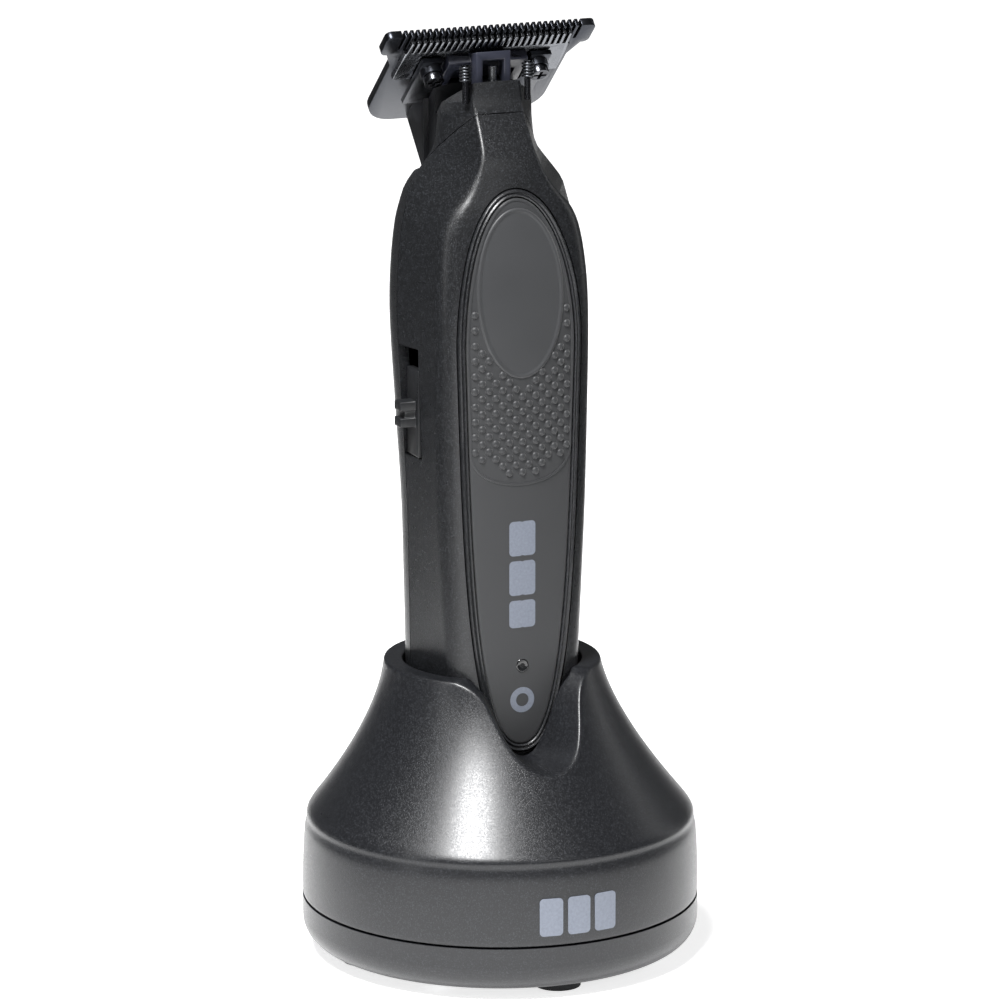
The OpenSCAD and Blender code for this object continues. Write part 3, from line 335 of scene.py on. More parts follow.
def finish_piece(name, mesh, crease=35):
    """Turns a bmesh in millimetres into an object in metres, smooth but for its sharp edges."""
    bmesh.ops.scale(mesh, vec=(MM, MM, MM), verts=mesh.verts)
    bmesh.ops.recalc_face_normals(mesh, faces=mesh.faces)
    data = bpy.data.meshes.new(name)
    mesh.to_mesh(data)
    mesh.free()
    data.shade_smooth()
    data.set_sharp_from_angle(angle=radians(crease))
    piece = bpy.data.objects.new(name, data)
    bpy.context.scene.collection.objects.link(piece)
    return piece


def bake_modifiers(piece, crease=35):
    """Applies a piece's modifiers, and makes the result smooth but for its sharp edges."""
    bpy.context.view_layer.update()
    shape = piece.evaluated_get(bpy.context.evaluated_depsgraph_get())
    piece.data = bpy.data.meshes.new_from_object(shape)
    piece.modifiers.clear()
    piece.data.shade_smooth()
    piece.data.set_sharp_from_angle(angle=radians(crease))


def combine(piece, tool, operation="DIFFERENCE"):
    """Cuts, joins or intersects a piece with another mesh, which is then thrown away."""
    cut = piece.modifiers.new("cut", "BOOLEAN")
    cut.object, cut.operation, cut.solver = tool, operation, "EXACT"
    bake_modifiers(piece)
    bpy.data.objects.remove(tool)
    return piece


def fit_piece(piece, body, slot, material, *nodes):
    """Gives a piece its material and its body, and hides the CAD pieces that it stands for. Its slot is not
    used.
    """
    piece.data.materials.clear()
    piece.data.materials.append(material)
    for face in piece.data.polygons:
        face.material_index = 0
    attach(piece, body)
    if nodes:
        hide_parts(*nodes)
    return piece


stand_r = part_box("base_ring")[1].x / MM
rim_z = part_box("stand_shell")[1].z / MM
wall_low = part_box("stand_shell")[0].z / MM
SHOULDER_Z, SHOULDER_ROUND, STAND_WALL = 26.0, 2.4, 2.4
RIM_BACK, RIM_WALL, WELL_GAP = 4.0, 3.7, 0.6
shoulder_r = stand_r - 0.6
rim_r = section_at(rim_z)[0] + WELL_GAP + RIM_WALL + 0.8
cone_low = SHOULDER_Z + 1.6
well_floor = body_low - 0.1
# Right half of the scoop's edge seen from the front: X and height above its lowest point
SCOOP_EDGE = ((0, 0), (2.4, 0.25), (4.8, 1.4), (6.8, 3.8), (8.2, 7.2), (9.2, 10.8), (10.2, 13.4),
              (11.8, 15.2), (14.4, 16.1))
SCOOP_Z = rim_z - SCOOP_EDGE[-1][1]
EDGE_ROUND = 1.0


def cone_at(z):
    """Radius and lean of the cone at height z."""
    t = min(max((z - cone_low) / (rim_z - cone_low), 0), 1)
    return rim_r + (shoulder_r - rim_r) * (1 - t) ** 1.5, RIM_BACK * t ** 1.3


def on_cone(turn, z):
    """The point of the cone's skin that faces turn, which is 0 at the front."""
    radius, back = cone_at(z)
    return Vector((radius * sin(turn), back - radius * cos(turn), z))


def well_point(turn, z):
    """Where a ray from the middle of the body, facing turn, meets the wall of the well."""
    ray = Vector((sin(turn), -cos(turn)))
    ring = body_ring(min(z, body_top), WELL_GAP)
    best = None
    for a, b in zip(ring, ring[1:] + ring[:1]):
        ax, ay, bx, by = a[0], a[1] - seam_y, b[0], b[1] - seam_y
        det = ray.x * (by - ay) - ray.y * (bx - ax)
        if abs(det) < 1e-9:
            continue
        along = (ax * (by - ay) - ay * (bx - ax)) / det
        share = (ax * ray.y - ay * ray.x) / det
        if along > 0 and -1e-6 <= share <= 1 + 1e-6 and (best is None or along > best):
            best = along
    return Vector((ray.x * best, seam_y + ray.y * best, z))


def rim_edge():
    """The outer edge of the opening, from the back clockwise: (turn, height, on the scoop)."""
    scoop, steps = [], 5
    for (x0, h0), (x1, h1) in zip(SCOOP_EDGE, SCOOP_EDGE[1:]):
        scoop += [(x0 + (x1 - x0) * k / steps, h0 + (h1 - h0) * k / steps) for k in range(steps)]
    scoop.append(SCOOP_EDGE[-1])
    for _ in range(12):
        inner = [((a[0] + 2 * b[0] + c[0]) / 4, (a[1] + 2 * b[1] + c[1]) / 4)
                 for a, b, c in zip(scoop, scoop[1:], scoop[2:])]
        scoop = [scoop[0]] + inner + [scoop[-1]]
    right = []
    for x, height in scoop:
        radius, _ = cone_at(SCOOP_Z + height)
        right.append((asin(x / radius), SCOOP_Z + height, True))
    start = right[-1][0]
    around = 36
    right += [(start + (pi - start) * k / around, rim_z, False) for k in range(1, around + 1)]
    left = [(-turn, z, scooped) for turn, z, scooped in right[1:-1]]
    return right + left[::-1]


def stand_rings():
    """Rings of points from inside the base, up the outer wall, over the rim and down the well."""
    edge = rim_edge()
    count = len(edge)
    half = count / 2
    even = [pi * i / half if i <= half else pi * i / half - 2 * pi for i in range(count)]
    even = [e * 0.55 + turn * 0.45 for e, (turn, _, _) in zip(even, edge)]

    def circle(r, z):
        return [Vector((r * sin(t), -r * cos(t), z)) for t in even]

    # Under the well, down the inside of the wall, round its foot, and up outside to the cone
    in_r, ceiling_z = stand_r - STAND_WALL, well_floor - 2.6
    rings = [circle(4, ceiling_z), circle(in_r - 2.8, ceiling_z), circle(in_r - 0.7, SHOULDER_Z - 1.4),
             circle(in_r, SHOULDER_Z - 5), circle(in_r, wall_low + 0.4), circle(in_r, wall_low),
             circle(stand_r - 0.3, wall_low), circle(stand_r, wall_low + 0.3),
             circle(stand_r, wall_low + 2), circle(stand_r - 0.05, SHOULDER_Z - 8),
             circle(shoulder_r + 0.25, SHOULDER_Z - SHOULDER_ROUND - 0.6),
             circle(shoulder_r + 0.1, SHOULDER_Z - 0.9), circle(shoulder_r - 0.45, SHOULDER_Z + 0.5)]
    # The cone's last ring is held back from the edge by the edge's round, measured on the cone
    # laid flat, where one radian is as wide as its mean radius
    middle = 25.0
    flat = [Vector((turn * middle, z)) for turn, z, _ in edge]
    held = []
    for i, point in enumerate(flat):
        before, after = flat[i - 1] if i else flat[i], flat[(i + 1) % count]
        along = after - before
        if along.length > 1.5 * middle or i == count // 2 or along.length < 1e-6:
            along = Vector((1, 0))
        down = Vector((along.y, -along.x)).normalized()
        if down.y > 0:
            down = -down
        held.append(point + down * EDGE_ROUND)
    for share in (0.0, 0.1, 0.22, 0.36, 0.5, 0.64, 0.78, 0.9, 1.0):
        ring = []
        for (x, z), turn in zip(held, even):
            height = cone_low + (z - cone_low) * share
            ring.append(on_cone(turn + (x / middle - turn) * share ** 1.5, height))
        rings.append(ring)
    rings.append([on_cone(turn, z) for turn, z, _ in edge])
    inner_r = rim_r - RIM_WALL
    towards, lip, low, throat = [], [], [], []
    for (turn, z, scooped), start in zip(edge, rings[-1]):
        ahead_y = min(start.y, skin_y(0, z) - WELL_GAP) if scooped else start.y
        facing = atan2(start.x, seam_y - ahead_y)
        wall = well_point(facing, z)
        if scooped:
            share = min(1, max(0, (z - rim_z + 1.6) / 1.6))
        else:
            share = 1
        ring_in = Vector((inner_r * sin(facing), RIM_BACK - inner_r * cos(facing), z))
        goal = wall.lerp(ring_in, share)
        towards.append(goal)
        lip.append(goal + Vector((0, 0, -0.9)))
        low.append(well_point(facing, z - 3.4).lerp(Vector((ring_in.x, ring_in.y, z - 3.4)), share * 0.5))
        throat.append(facing)
    outer = rings[-1]
    rings.append([a + (b - a).normalized() * EDGE_ROUND for a, b in zip(outer, towards)])
    rings.append([a.lerp(b, 0.5) for a, b in zip(rings[-1], towards)])
    rings.append([b + (a - b).normalized() * min(0.8, (a - b).length * 0.3) for a, b in zip(outer, towards)])
    rings.append(towards)
    rings.append(lip)
    rings.append(low)
    for share in (0.3, 0.7, 0.97, 1.0):
        rings.append([well_point(facing, p.z + (well_floor - p.z) * share) for facing, p in zip(throat, low)])
    return rings


shell = bmesh.new()
rings = stand_rings()
ceiling, floor_line = skin(shell, rings)
for line in (ceiling, floor_line):
    inset = shell.faces.new(line)
    bmesh.ops.inset_individual(shell, faces=[inset], thickness=1.0)
stand_shell = finish_piece("stand_shell_moulding", shell, crease=60)
rounding = stand_shell.modifiers.new("rounding", "SUBSURF")
rounding.levels = rounding.render_levels = 2
bake_modifiers(stand_shell, crease=60)
fit_piece(stand_shell, "stand", "stand_plastic", stand_abs, "stand_shell")

# ---- Front and rear housing shells ----
# Two ABS half shells split along the sides, screwed together from behind. They are sprayed with
# the satin black paint whose fine metal flakes glitter. The front half has a pocket for the grip
# panel, and the left side a slot for the switch.
SEAM_GAP = 0.2
HOUSING_WALL = 2.2
FAR = 60
nose_seam_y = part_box("front_shell")[1].y / MM + SEAM_GAP / 2
nose_seam_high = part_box("front_shell")[1].z / MM + SEAM_GAP / 2
nose_seam_low = nose_seam_high - 9.4
seam_bend_z = nose_seam_high - 17.9
rear_top_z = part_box("rear_shell")[1].z / MM


def body_solid(name, off=0.0, low=0.0, high=1.0, levels=96):
    """The body's outline lofted from one share of its length to another, closed at both ends."""
    mesh = bmesh.new()
    shares = [low + (high - low) * i / levels for i in range(levels + 1)]
    ends = skin(mesh, [body_ring(body_low + share * body_len, off) for share in shares])
    for line in ends:
        mesh.faces.new(line)
    return finish_piece(name, mesh)


def prism(name, outline, axis="X", low=-FAR, high=FAR):
    """An outline drawn in the plane across an axis and extruded along it from low to high."""
    mesh = bmesh.new()
    if axis == "X":
        line = [mesh.verts.new((low, a, b)) for a, b in outline]
        along = (high - low, 0, 0)
    else:
        line = [mesh.verts.new((a, low, b)) for a, b in outline]
        along = (0, high - low, 0)
    face = mesh.faces.new(line)
    grown = bmesh.ops.extrude_face_region(mesh, geom=[face])["geom"]
    bmesh.ops.translate(mesh, vec=along, verts=[v for v in grown if isinstance(v, bmesh.types.BMVert)])
    return finish_piece(name, mesh)


def block(name, low, high):
    """A plain box between two corners."""
    mesh = bmesh.new()
    size = [b - a for a, b in zip(low, high)]
    bmesh.ops.create_cube(mesh, size=1)
    bmesh.ops.scale(mesh, vec=size, verts=mesh.verts)
    bmesh.ops.translate(mesh, vec=[(a + b) / 2 for a, b in zip(low, high)], verts=mesh.verts)
    return finish_piece(name, mesh)


# The grip panel's outline: half an ellipse on top, and a shield that narrows to a point below
panel_half_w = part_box("grip_panel")[1].x / MM
panel_top_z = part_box("grip_panel")[1].z / MM
panel_low_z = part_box("grip_panel")[0].z / MM
panel_wide_z = body_top - 50
BEZEL_W = 1.5
POCKET_DEPTH = 1.2


def panel_side(drop):
    """Half the panel's width at a share of the way from its widest place down to its point."""
    return panel_half_w * (1 - 0.2 * drop) * max(0, 1 - drop ** 4) ** 0.42


def panel_outline(off=0.0, steps=44):
    """Points round the panel, moved outwards by off, from its right side over the top."""
    points = []
    for i in range(steps):
        turn = pi * i / steps
        rise = (panel_top_z - panel_wide_z) * sin(turn)
        points.append(Vector((panel_half_w * cos(turn), panel_wide_z + rise)))
    for k in (-1, 1):
        for i in range(steps):
            s = sin(pi / 2 * (i if k < 0 else steps - i) / steps)
            points.append(Vector((k * panel_side(s), panel_wide_z - s * (panel_wide_z - panel_low_z))))
    return moved_out(points, off)


def moved_out(points, off):
    """An outline that runs anticlockwise, moved outwards by off along its own normals."""
    if not off:
        return points
    moved = []
    for i, point in enumerate(points):
        along = (points[(i + 1) % len(points)] - points[i - 1]).normalized()
        moved.append(point + Vector((along.y, -along.x)) * off)
    return moved


# Side views of the two halves, each kept back from the seam by half its gap
gap = SEAM_GAP / 2
front_side = [(-FAR, body_low - 1), (seam_y - gap, body_low - 1), (seam_y - gap, seam_bend_z),
              (nose_seam_y - gap, nose_seam_low - 3), (nose_seam_y - gap, nose_seam_low - gap),
              (-gap, nose_seam_high - gap), (-FAR, nose_seam_high - gap)]
rear_side = [(FAR, body_low - 1), (FAR, rear_top_z), (nose_seam_y + gap, rear_top_z),
             (nose_seam_y + gap, nose_seam_low - 3), (seam_y + gap, seam_bend_z),
             (seam_y + gap, body_low - 1)]
slot_low, slot_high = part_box("switch_button")[0] / MM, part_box("switch_button")[1] / MM
SWITCH_TRAVEL, SLOT_GAP = 4.0, 0.3
switch_slot = ((-FAR, slot_low.y - SLOT_GAP, slot_low.z - SLOT_GAP),
               (slot_low.x + 8.4, seam_y + 1, slot_high.z + SWITCH_TRAVEL + SLOT_GAP))

# Each shell is the solid body cut down to its half, then hollowed
BODY_FLOOR = 0.014
housing_paint = flaked_black("housing_satin_black")
pocket = prism("pocket", panel_outline(BEZEL_W + 0.28), "Y", -FAR, 0)
combine(pocket, body_solid("pocket_floor", -POCKET_DEPTH))
front_shell = body_solid("front_housing_shell")
combine(front_shell, prism("front_part", front_side), "INTERSECT")
combine(front_shell, block("switch_slot", *switch_slot))
combine(front_shell, body_solid("hollow", -HOUSING_WALL, BODY_FLOOR, 1))
combine(front_shell, pocket)
fit_piece(front_shell, "clipper", "housing_paint", housing_paint, "front_shell")

rear_shell = body_solid("rear_housing_shell")
combine(rear_shell, prism("rear_part", rear_side), "INTERSECT")
roof = (rear_top_z - HOUSING_WALL - body_low) / body_len
combine(rear_shell, body_solid("hollow", -HOUSING_WALL, BODY_FLOOR, roof))
PASSAGE_HALF_W = 9.4
passage_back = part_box("rear_shell")[1].y / MM - 9
combine(rear_shell, block("neck_passage", (-PASSAGE_HALF_W, seam_y - 1, rear_top_z - 8),
                          (PASSAGE_HALF_W, passage_back, rear_top_z + 1)))
boss_low_z = body_low + 6.4
screw_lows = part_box("housing_screws")[0] / MM
screw_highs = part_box("housing_screws")[1] / MM
HEAD_R, HEAD_H, POCKET_LONG = 1.9, 1.4, 40
high_screw_z = screw_highs.z - HEAD_R
for x, z in ((-8.4, boss_low_z), (8.4, boss_low_z), (screw_lows.x + HEAD_R, high_screw_z),
             (screw_highs.x - HEAD_R, high_screw_z)):
    hole = bmesh.new()
    middle = Matrix.Translation((x, screw_highs.y - HEAD_H + POCKET_LONG / 2, z))
    bmesh.ops.create_cone(hole, cap_ends=True, segments=32, radius1=HEAD_R + 0.2, radius2=HEAD_R + 0.2,
                          depth=POCKET_LONG, matrix=middle @ Matrix.Rotation(pi / 2, 4, "X"))
    combine(rear_shell, finish_piece("screw_pocket", hole))
fit_piece(rear_shell, "clipper", "housing_paint", housing_paint, "rear_shell")

# ---- Nose cover ----
# A small painted cover that clips over the top of the neck, with a sloping joint line.
NOSE_WALL = 1.3
nose_side = [(-FAR, nose_seam_high + gap), (-gap, nose_seam_high + gap),
             (nose_seam_y, nose_seam_low + gap), (nose_seam_y, body_top - 7.2),
             (skin_y(0, body_top) - FRONT_BOW, body_top), (-FAR, body_top)]
nose = body_solid("nose_cover_moulding", 0, 0.85, 1, 40)
combine(nose, prism("nose_part", nose_side), "INTERSECT")
combine(nose, body_solid("hollow", -NOSE_WALL, 0.84, 1.0, 40))
combine(nose, block("fork_room", (-5.9, 2.8, body_top - 8), (5.9, nose_seam_y + 1, body_top + 1)))
fit_piece(nose, "clipper", "housing_paint", housing_paint, "nose_cover")

# ---- Grip panel and its bezel ----
# The panel is a black soft-touch moulding glued into the pocket: a smooth oval for the thumb, a
# field of raised dots under it, and a plain lower part with the charge lamp. A painted double
# bead runs round it, proud of the housing.
BEZEL_PROFILE = ((1.5, -1.1), (1.5, -0.02), (1.44, 0.24), (1.24, 0.42), (1.02, 0.36), (0.86, 0.12),
                 (0.74, 0.08), (0.62, 0.26), (0.42, 0.36), (0.22, 0.24), (0.12, 0.0), (0.1, -1.1))


def oval(mid_z, half_w, half_h, steps):
    """An ellipse on the panel, anticlockwise from its right end."""
    return [Vector((half_w * cos(2 * pi * i / steps), mid_z + half_h * sin(2 * pi * i / steps)))
            for i in range(steps)]


def spine(low, high):
    """For each point of an outline, the point on the middle line that its surface closes to."""
    return lambda point: Vector((0, min(max(point.y, low), high)))


def bead(name, outline, profile):
    """A moulding that runs round an outline on the front of the body. Each point of its profile
    is how far outside the outline it lies, and how far it stands above the skin."""
    mesh = bmesh.new()
    rings = []
    for out, rise in profile:
        rings.append([(p.x, skin_y(p.x, p.y) - rise, p.y) for p in moved_out(outline, out)])
    rings.append(rings[0])
    skin(mesh, rings)
    bmesh.ops.remove_doubles(mesh, verts=mesh.verts, dist=1e-4)
    return finish_piece(name, mesh, crease=50)


def patch(name, outline, centre, profile, depth, steps=14):
    """A cushion-like moulding that fills an outline on the front of the body: it starts depth
    below the skin, rounds over by its profile, and closes towards its centre."""
    mesh = bmesh.new()
    rings = [[(p.x, skin_y(p.x, p.y) + depth, p.y) for p in moved_out(outline, profile[0][0])]]
    for out, rise in profile:
        rings.append([(p.x, skin_y(p.x, p.y) - rise, p.y) for p in moved_out(outline, out)])
    edge = moved_out(outline, profile[-1][0])
    for i in range(1, steps + 1):
        points = [centre(p).lerp(p, 1 - i / steps) for p in edge]
        rings.append([(p.x, skin_y(p.x, p.y) - profile[-1][1], p.y) for p in points])
    back, _ = skin(mesh, rings)
    mesh.faces.new(back)
    bmesh.ops.remove_doubles(mesh, verts=mesh.verts, dist=1e-4)
    return finish_piece(name, mesh, crease=50)


def soft_touch(name, colour, rough=0.62):
    """Soft-touch elastomer over a stiff core: dull, a little chalky, with the tool's fine grain."""
    material = moulded(name, colour, rough=rough, grain=0.18, depth=0.012, mottle=0.05)
    shader = next(n for n in material.node_tree.nodes if n.type == "BSDF_PRINCIPLED")
    shader.inputs["Sheen Weight"].default_value = 0.25
    shader.inputs["Sheen Roughness"].default_value = 0.5
    return material


bezel_paint = flaked_black("bezel_satin_black", "#1d1e20", "#38393d", rough=0.34)
bezel = bead("panel_bezel_moulding", panel_outline(), BEZEL_PROFILE)
fit_piece(bezel, "clipper", "bead_paint", bezel_paint, "panel_bezel")

panel_rubber = soft_touch("soft_touch_black", "#2b2c2e", rough=0.5)
PANEL_RISE = 0.1
panel = patch("grip_panel_moulding", panel_outline(-0.02), spine(panel_low_z + 10, panel_top_z - 12),
              ((0, -0.2), (-0.03, -0.06), (-0.12, 0.03), (-0.3, 0.08), (-0.6, PANEL_RISE)),
              POCKET_DEPTH - 0.05, 20)
fit_piece(panel, "clipper", "panel_rubber", panel_rubber, "grip_panel")

PAD_Z, PAD_HALF_W, PAD_HALF_H = 131.8, 8.6, 15.9
pad_rubber = soft_touch("soft_touch_pad", "#333436", rough=0.46)
pad = patch("thumb_pad", oval(PAD_Z, PAD_HALF_W, PAD_HALF_H, 96), spine(PAD_Z - 8, PAD_Z + 8),
            ((0.3, 0.0), (0.28, 0.2), (0.12, 0.32), (-0.1, 0.34), (-0.34, 0.28), (-0.5, 0.16),
             (-0.8, 0.14), (-1.2, 0.15)), 0.2)
fit_piece(pad, "clipper", "panel_rubber", pad_rubber)

# Dots stand in staggered rows wherever they clear the panel's edge and the oval, down to an arc
DOT_R, DOT_PITCH, DOT_ROW = 0.76, 1.35, 1.48
EDGE_ROOM, PAD_ROOM = 0.85, 0.9
DOTS_LOW, DOTS_ARC = 96.8, 5.4
field = bmesh.new()
rows = ceil((panel_top_z - 96) / DOT_ROW)
for row in range(rows):
    z = panel_top_z - 2.3 - row * DOT_ROW
    for x in (DOT_PITCH * 2 * (k + 0.5 * (row % 2)) for k in range(-6, 7)):
        if abs(x) >= panel_half_w:
            continue
        share = (abs(x) + EDGE_ROOM) / panel_half_w
        top = panel_wide_z + (panel_top_z - panel_wide_z) * sqrt(max(0, 1 - share ** 2))
        side = panel_side(max(0, (panel_wide_z - z) / (panel_wide_z - panel_low_z)))
        on_pad = hypot(x / (PAD_HALF_W + PAD_ROOM), (z - PAD_Z) / (PAD_HALF_H + PAD_ROOM)) <= 1
        under_arc = z < DOTS_LOW + DOTS_ARC * (x / panel_half_w) ** 2
        if z > top or abs(x) > side - EDGE_ROOM or on_pad or under_arc:
            continue
        slope = (skin_y(x + 0.1, z) - skin_y(x - 0.1, z)) / 0.2
        dome = bmesh.ops.create_uvsphere(field, u_segments=12, v_segments=6, radius=DOT_R)["verts"]
        bmesh.ops.scale(field, vec=(1, 0.6, 1), verts=dome)
        bmesh.ops.rotate(field, cent=(0, 0, 0), matrix=Matrix.Rotation(atan2(slope, 1), 3, "Z"), verts=dome)
        bmesh.ops.translate(field, vec=(x, skin_y(x, z) - 0.06, z), verts=dome)
dots = finish_piece("grip_dots", field, crease=80)
fit_piece(dots, "clipper", "panel_rubber", panel_rubber)

# A fine ridge runs round the field: inside the panel's edge, then across in an arc below the dots
FIELD_LOW, FIELD_BEND = 94.9, 103
over_top = [p for p in panel_outline(-0.4) if p.y > FIELD_BEND]
corner_x = max(p.x for p in over_top if p.y < FIELD_BEND + 4)
split = next(i for i, p in enumerate(over_top) if i and (p - over_top[i - 1]).length > 6)
under = []
for i in range(1, 40):
    turn = pi * i / 40
    under.append(Vector((-corner_x * cos(turn), FIELD_BEND - (FIELD_BEND - FIELD_LOW) * sin(turn) ** 0.7)))
rim = bead("dot_field_edge", over_top[split:] + over_top[:split] + under,
           ((0.28, 0.0), (0.24, 0.2), (0.0, 0.27), (-0.24, 0.2), (-0.28, 0.0)))
fit_piece(rim, "clipper", "panel_rubber", panel_rubber)

# ---- Charge lamp ----
# A clear light guide shows through a small dished hole in the lower part of the panel.
lamp_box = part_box("light_pipe")
lamp_z = (lamp_box[0].z + lamp_box[1].z) / 2 / MM
lamp_plastic, tree, shader, _ = blank_material("smoked_light_guide")
shader.inputs["Base Color"].default_value = srgb("#17181a")
shader.inputs["Roughness"].default_value = 0.12
shader.inputs["Coat Weight"].default_value = 0.6
lamp = patch("charge_lamp", oval(lamp_z, 1, 1, 40), spine(lamp_z, lamp_z),
             ((0.35, 0.05), (0.3, 0.16), (0.12, 0.24), (-0.06, 0.2), (-0.2, 0.12), (-0.5, 0.115)), 0.6, 4)
fit_piece(lamp, "clipper", "clear_plastic", lamp_plastic, "light_pipe")

# ---- Printed marks ----
# Plain pad-printed bars and a ring, in a grey ink a few hundredths of a millimetre thick.
ink, tree, shader, place = blank_material("pad_print_ink")
blots = node(tree, "ShaderNodeTexNoise", {"Vector": place, "Scale": 1 / (0.5 * MM), "Detail": 3})
wear = node(tree, "ShaderNodeMix", {0: blots.outputs["Fac"], 6: srgb("#666c78"), 7: srgb("#7e8490")},
            data_type="RGBA")
tree.links.new(wear.outputs[2], shader.inputs["Base Color"])
shader.inputs["Roughness"].default_value = 0.5
INK_RISE = 0.03
ink_top = PANEL_RISE + INK_RISE


def rounded_bar(half_w, half_h, centre, corner, steps=6):
    """The outline of a bar with round corners, anticlockwise."""
    points = []
    for quarter, (right, up) in enumerate(((1, 1), (-1, 1), (-1, -1), (1, -1))):
        middle = centre + Vector(((half_w - corner) * right, (half_h - corner) * up))
        for i in range(steps + 1):
            turn = pi / 2 * (quarter + i / steps)
            points.append(middle + Vector((corner * cos(turn), corner * sin(turn))))
    return points


for number, (mid_z, half_h, half_w) in enumerate(((84.2, 3.4, 2.7), (76.4, 3.4, 2.7), (69.3, 2.7, 2.7))):
    outline = rounded_bar(half_w, half_h, Vector((0, mid_z)), 0.8)
    bar = patch(f"panel_mark_{number}", outline, spine(mid_z, mid_z), ((0, ink_top),), 0.02, 6)
    fit_piece(bar, "clipper", "panel_rubber", ink)
ring_mark = bead("panel_ring_mark", oval(52.2, 1.9, 1.9, 48),
                 ((0.6, 0.02), (0.6, ink_top), (-0.6, ink_top), (-0.6, 0.02)))
fit_piece(ring_mark, "clipper", "panel_rubber", ink)
for number, mid_x in enumerate((-5.6, 0, 5.6)):
    mark = bmesh.new()
    rings = []
    centre = Vector((mid_x, 16.9))
    outline = rounded_bar(2.3, 3.7, centre, 0.8)
    for shrink, out in ((0, -0.3), (0, INK_RISE), (0.5, INK_RISE), (0.9, INK_RISE)):
        radius = stand_r + out
        ring = [centre.lerp(p, 1 - shrink) for p in outline]
        rings.append([(radius * sin(p.x / stand_r), -radius * cos(p.x / stand_r), p.y) for p in ring])
    for line in skin(mark, rings):
        mark.faces.new(line)
    fit_piece(finish_piece(f"stand_mark_{number}", mark), "stand", "stand_plastic", ink)

# ---- Charging inlet of the stand ----
# A shallow slot goes through the stand's back wall to a steel-shelled inlet on the board inside.
inlet_low, inlet_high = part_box("power_inlet")[0] / MM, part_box("power_inlet")[1] / MM
inlet_mid = Vector(((inlet_low.x + inlet_high.x) / 2, (inlet_low.z + inlet_high.z) / 2))
INLET_GAP = 0.25
slot_line = rounded_bar((inlet_high.x - inlet_low.x) / 2 + INLET_GAP,
                        (inlet_high.z - inlet_low.z) / 2 + INLET_GAP, inlet_mid, 1.8)
combine(stand_shell, prism("inlet_slot", slot_line, "Y", 20, FAR))

# ---- Slide switch on the left side ----
# A moulded slider with a two-bar knob stands out of a slot in the housing. Its inner plate
# carries a lever that moves a small slide switch on its own board.


def softened(node_name, width, segments=2, crease=40):
    """The CAD piece again, with every sharp edge rounded over by that many millimetres."""
    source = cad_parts[node_name]
    mesh = bmesh.new()
    mesh.from_mesh(source.data)
    mesh.transform(source.matrix_world)
    bmesh.ops.remove_doubles(mesh, verts=mesh.verts, dist=0.002 * MM)
    bmesh.ops.dissolve_limit(mesh, angle_limit=radians(0.5), verts=mesh.verts, edges=mesh.edges)
    bmesh.ops.recalc_face_normals(mesh, faces=mesh.faces)
    bmesh.ops.scale(mesh, vec=(1 / MM, 1 / MM, 1 / MM), verts=mesh.verts)
    piece = finish_piece(node_name + "_finished", mesh, crease)
    edge = piece.modifiers.new("edges", "BEVEL")
    edge.width, edge.segments = width * MM, segments
    edge.limit_method, edge.angle_limit = "ANGLE", radians(28)
    edge.use_clamp_overlap = True
    bake_modifiers(piece, crease)
    return piece


switch_nylon = moulded("switch_nylon", "#1b1c1e", rough=0.4, grain=0.2)
button = softened("switch_button", 0.32, 3)
fit_piece(button, "switch", "switch_plastic", switch_nylon, "switch_button")

# ---- Blades ----
# The fixed T blade is ground from black-coated steel and the cutter from bare steel. The cutter
# strokes sideways against it, and both have their sharp edges broken.
black_coat = worked_metal("black_coated_steel", "#3b3d42", rough=0.3, scratch=(2.5, 0.05, 0.3))
ground_steel = worked_metal("ground_cutter_steel", "#74767a", rough=0.24, scratch=(0.06, 2.0, 0.4))
fit_piece(softened("fixed_blade", 0.1, 2), "clipper", "blade_steel", black_coat, "fixed_blade")
fit_piece(softened("moving_blade", 0.08, 1), "cutter", "cutter_steel", ground_steel, "moving_blade")

# ---- Yoke, bracket and head ----
# The cutter is carried by a glass-filled nylon yoke whose fork takes the drive pin. A pressed
# bracket holds the fixed blade to the moulded head with black screws.
yoke_nylon = moulded("yoke_nylon", "#2b2d38", rough=0.36, grain=0.3)
head_abs = moulded("head_nylon", "#222326", rough=0.4)
fit_piece(softened("cutter_yoke", 0.18, 2), "cutter", "yoke_plastic", yoke_nylon, "cutter_yoke")
fit_piece(softened("blade_bracket", 0.16, 2), "clipper", "black_steel", black_coat, "blade_bracket")
fit_piece(softened("head_frame", 0.25, 2), "clipper", "black_plastic", head_abs, "head_frame")
screw_black = worked_metal("black_oxide_screw", "#4a4b4f", rough=0.22, scratch=(0.3, 0.3, 0.3))
fit_piece(softened("blade_screws", 0.3, 3), "clipper", "black_steel", screw_black, "blade_screws")
fit_piece(softened("bracket_screws", 0.2, 3), "clipper", "black_steel", screw_black, "bracket_screws")

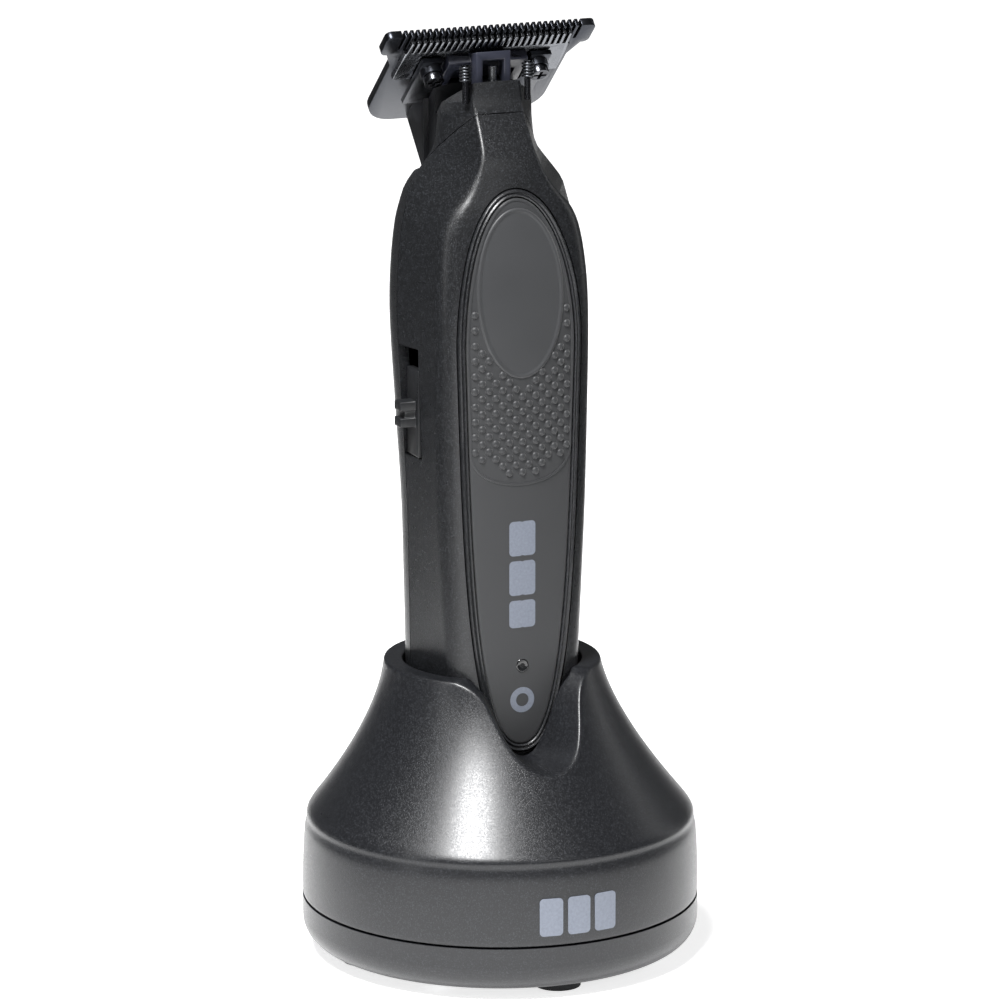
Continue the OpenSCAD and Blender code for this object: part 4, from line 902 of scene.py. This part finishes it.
# ---- Tension springs ----
# Two small coil springs of drawn wire press the cutter forward. They stand on steel posts.
spring_wire = worked_metal("spring_wire", "#55575b", rough=0.28, scratch=(0.2, 0.2, 0.2))
spring_low, spring_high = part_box("tension_springs")[0] / MM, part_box("tension_springs")[1] / MM
WIRE_R, WIRE_SIDES, TURNS, AROUND = 0.22, 10, 5, 28
tall = spring_high.z - spring_low.z - 2 * WIRE_R
coil_r = (spring_high.y - spring_low.y) / 2 - WIRE_R
coils = bmesh.new()
for mid_x in (spring_low.x + coil_r + WIRE_R, spring_high.x - coil_r - WIRE_R):
    mid_y = (spring_low.y + spring_high.y) / 2
    rings = []
    for i in range(TURNS * AROUND + 1):
        turn = 2 * pi * i / AROUND
        rise = spring_low.z + WIRE_R + tall * i / (TURNS * AROUND)
        out, up = Vector((cos(turn), sin(turn), 0)), Vector((0, 0, 1))
        centre = Vector((mid_x, mid_y, rise)) + out * coil_r
        sides = [2 * pi * k / WIRE_SIDES for k in range(WIRE_SIDES)]
        rings.append([centre + (out * cos(a) + up * sin(a)) * WIRE_R for a in sides])
    for line in skin(coils, rings):
        coils.faces.new(line)
spring_pair = finish_piece("tension_spring_coils", coils, crease=60)
fit_piece(spring_pair, "clipper", "spring_steel", spring_wire, "tension_springs")
bright_steel = worked_metal("turned_bright_steel", "#b4b6ba", rough=0.2, scratch=(0.3, 0.3, 0.05))
paint_cad(bright_steel, "drive_pin", "motor_shaft")
paint_cad(screw_black, "spring_posts")

# ---- Motor and crank ----
# A small brushed motor: a drawn steel can with ferrite magnets, a wound core and a nylon end
# cap. A brass cam on its shaft carries the pin that drives the yoke.
paint_cad(worked_metal("drawn_motor_can", "#a9acb0", rough=0.25, scratch=(1.5, 1.5, 0.06)),
          "motor_can", "power_inlet")
paint_cad(moulded("end_cap_nylon", "#d9d6cc", rough=0.45), "motor_end_cap")
paint_cad(moulded("ferrite", "#2f3032", rough=0.6, mottle=0.2), "motor_magnets")
paint_cad(worked_metal("sintered_bronze", "#a87440", rough=0.42, scratch=(0.3, 0.3, 0.3)), "motor_bushes")
paint_cad(worked_metal("turned_brass", "#c7a04e", rough=0.24, scratch=(0.3, 0.3, 0.05)), "eccentric_cam")
paint_cad(worked_metal("enamelled_copper", "#b5622f", rough=0.3, scratch=(0.16, 0.16, 1.5)), "motor_core")

# ---- Boards, battery and contacts ----
# Glass-epoxy boards under green solder mask, a lithium cell in a blue sleeve, two red leads, and
# gold-plated contacts where the clipper meets the stand.
paint_cad(moulded("green_solder_mask", "#1d5a36", rough=0.3, grain=1.2, depth=0.02, mottle=0.2),
          "circuit_board", "switch_board", "stand_board")
paint_cad(moulded("chip_epoxy", "#1c1d1f", rough=0.5), "charge_chip")
paint_cad(moulded("cell_sleeve", "#2f6fae", rough=0.32, grain=0.8, mottle=0.04), "battery_cell")
paint_cad(moulded("lead_insulation", "#a8322a", rough=0.4), "stand_leads")
paint_cad(worked_metal("gold_plate", "#d8b566", rough=0.2, scratch=(0.2, 0.2, 0.1)),
          "charge_contacts", "charge_pins", "pin_barrels")
lamp_die, tree, shader, _ = blank_material("lamp_package")
shader.inputs["Base Color"].default_value = srgb("#e8e6d8")
shader.inputs["Roughness"].default_value = 0.25
paint_cad(lamp_die, "status_light")
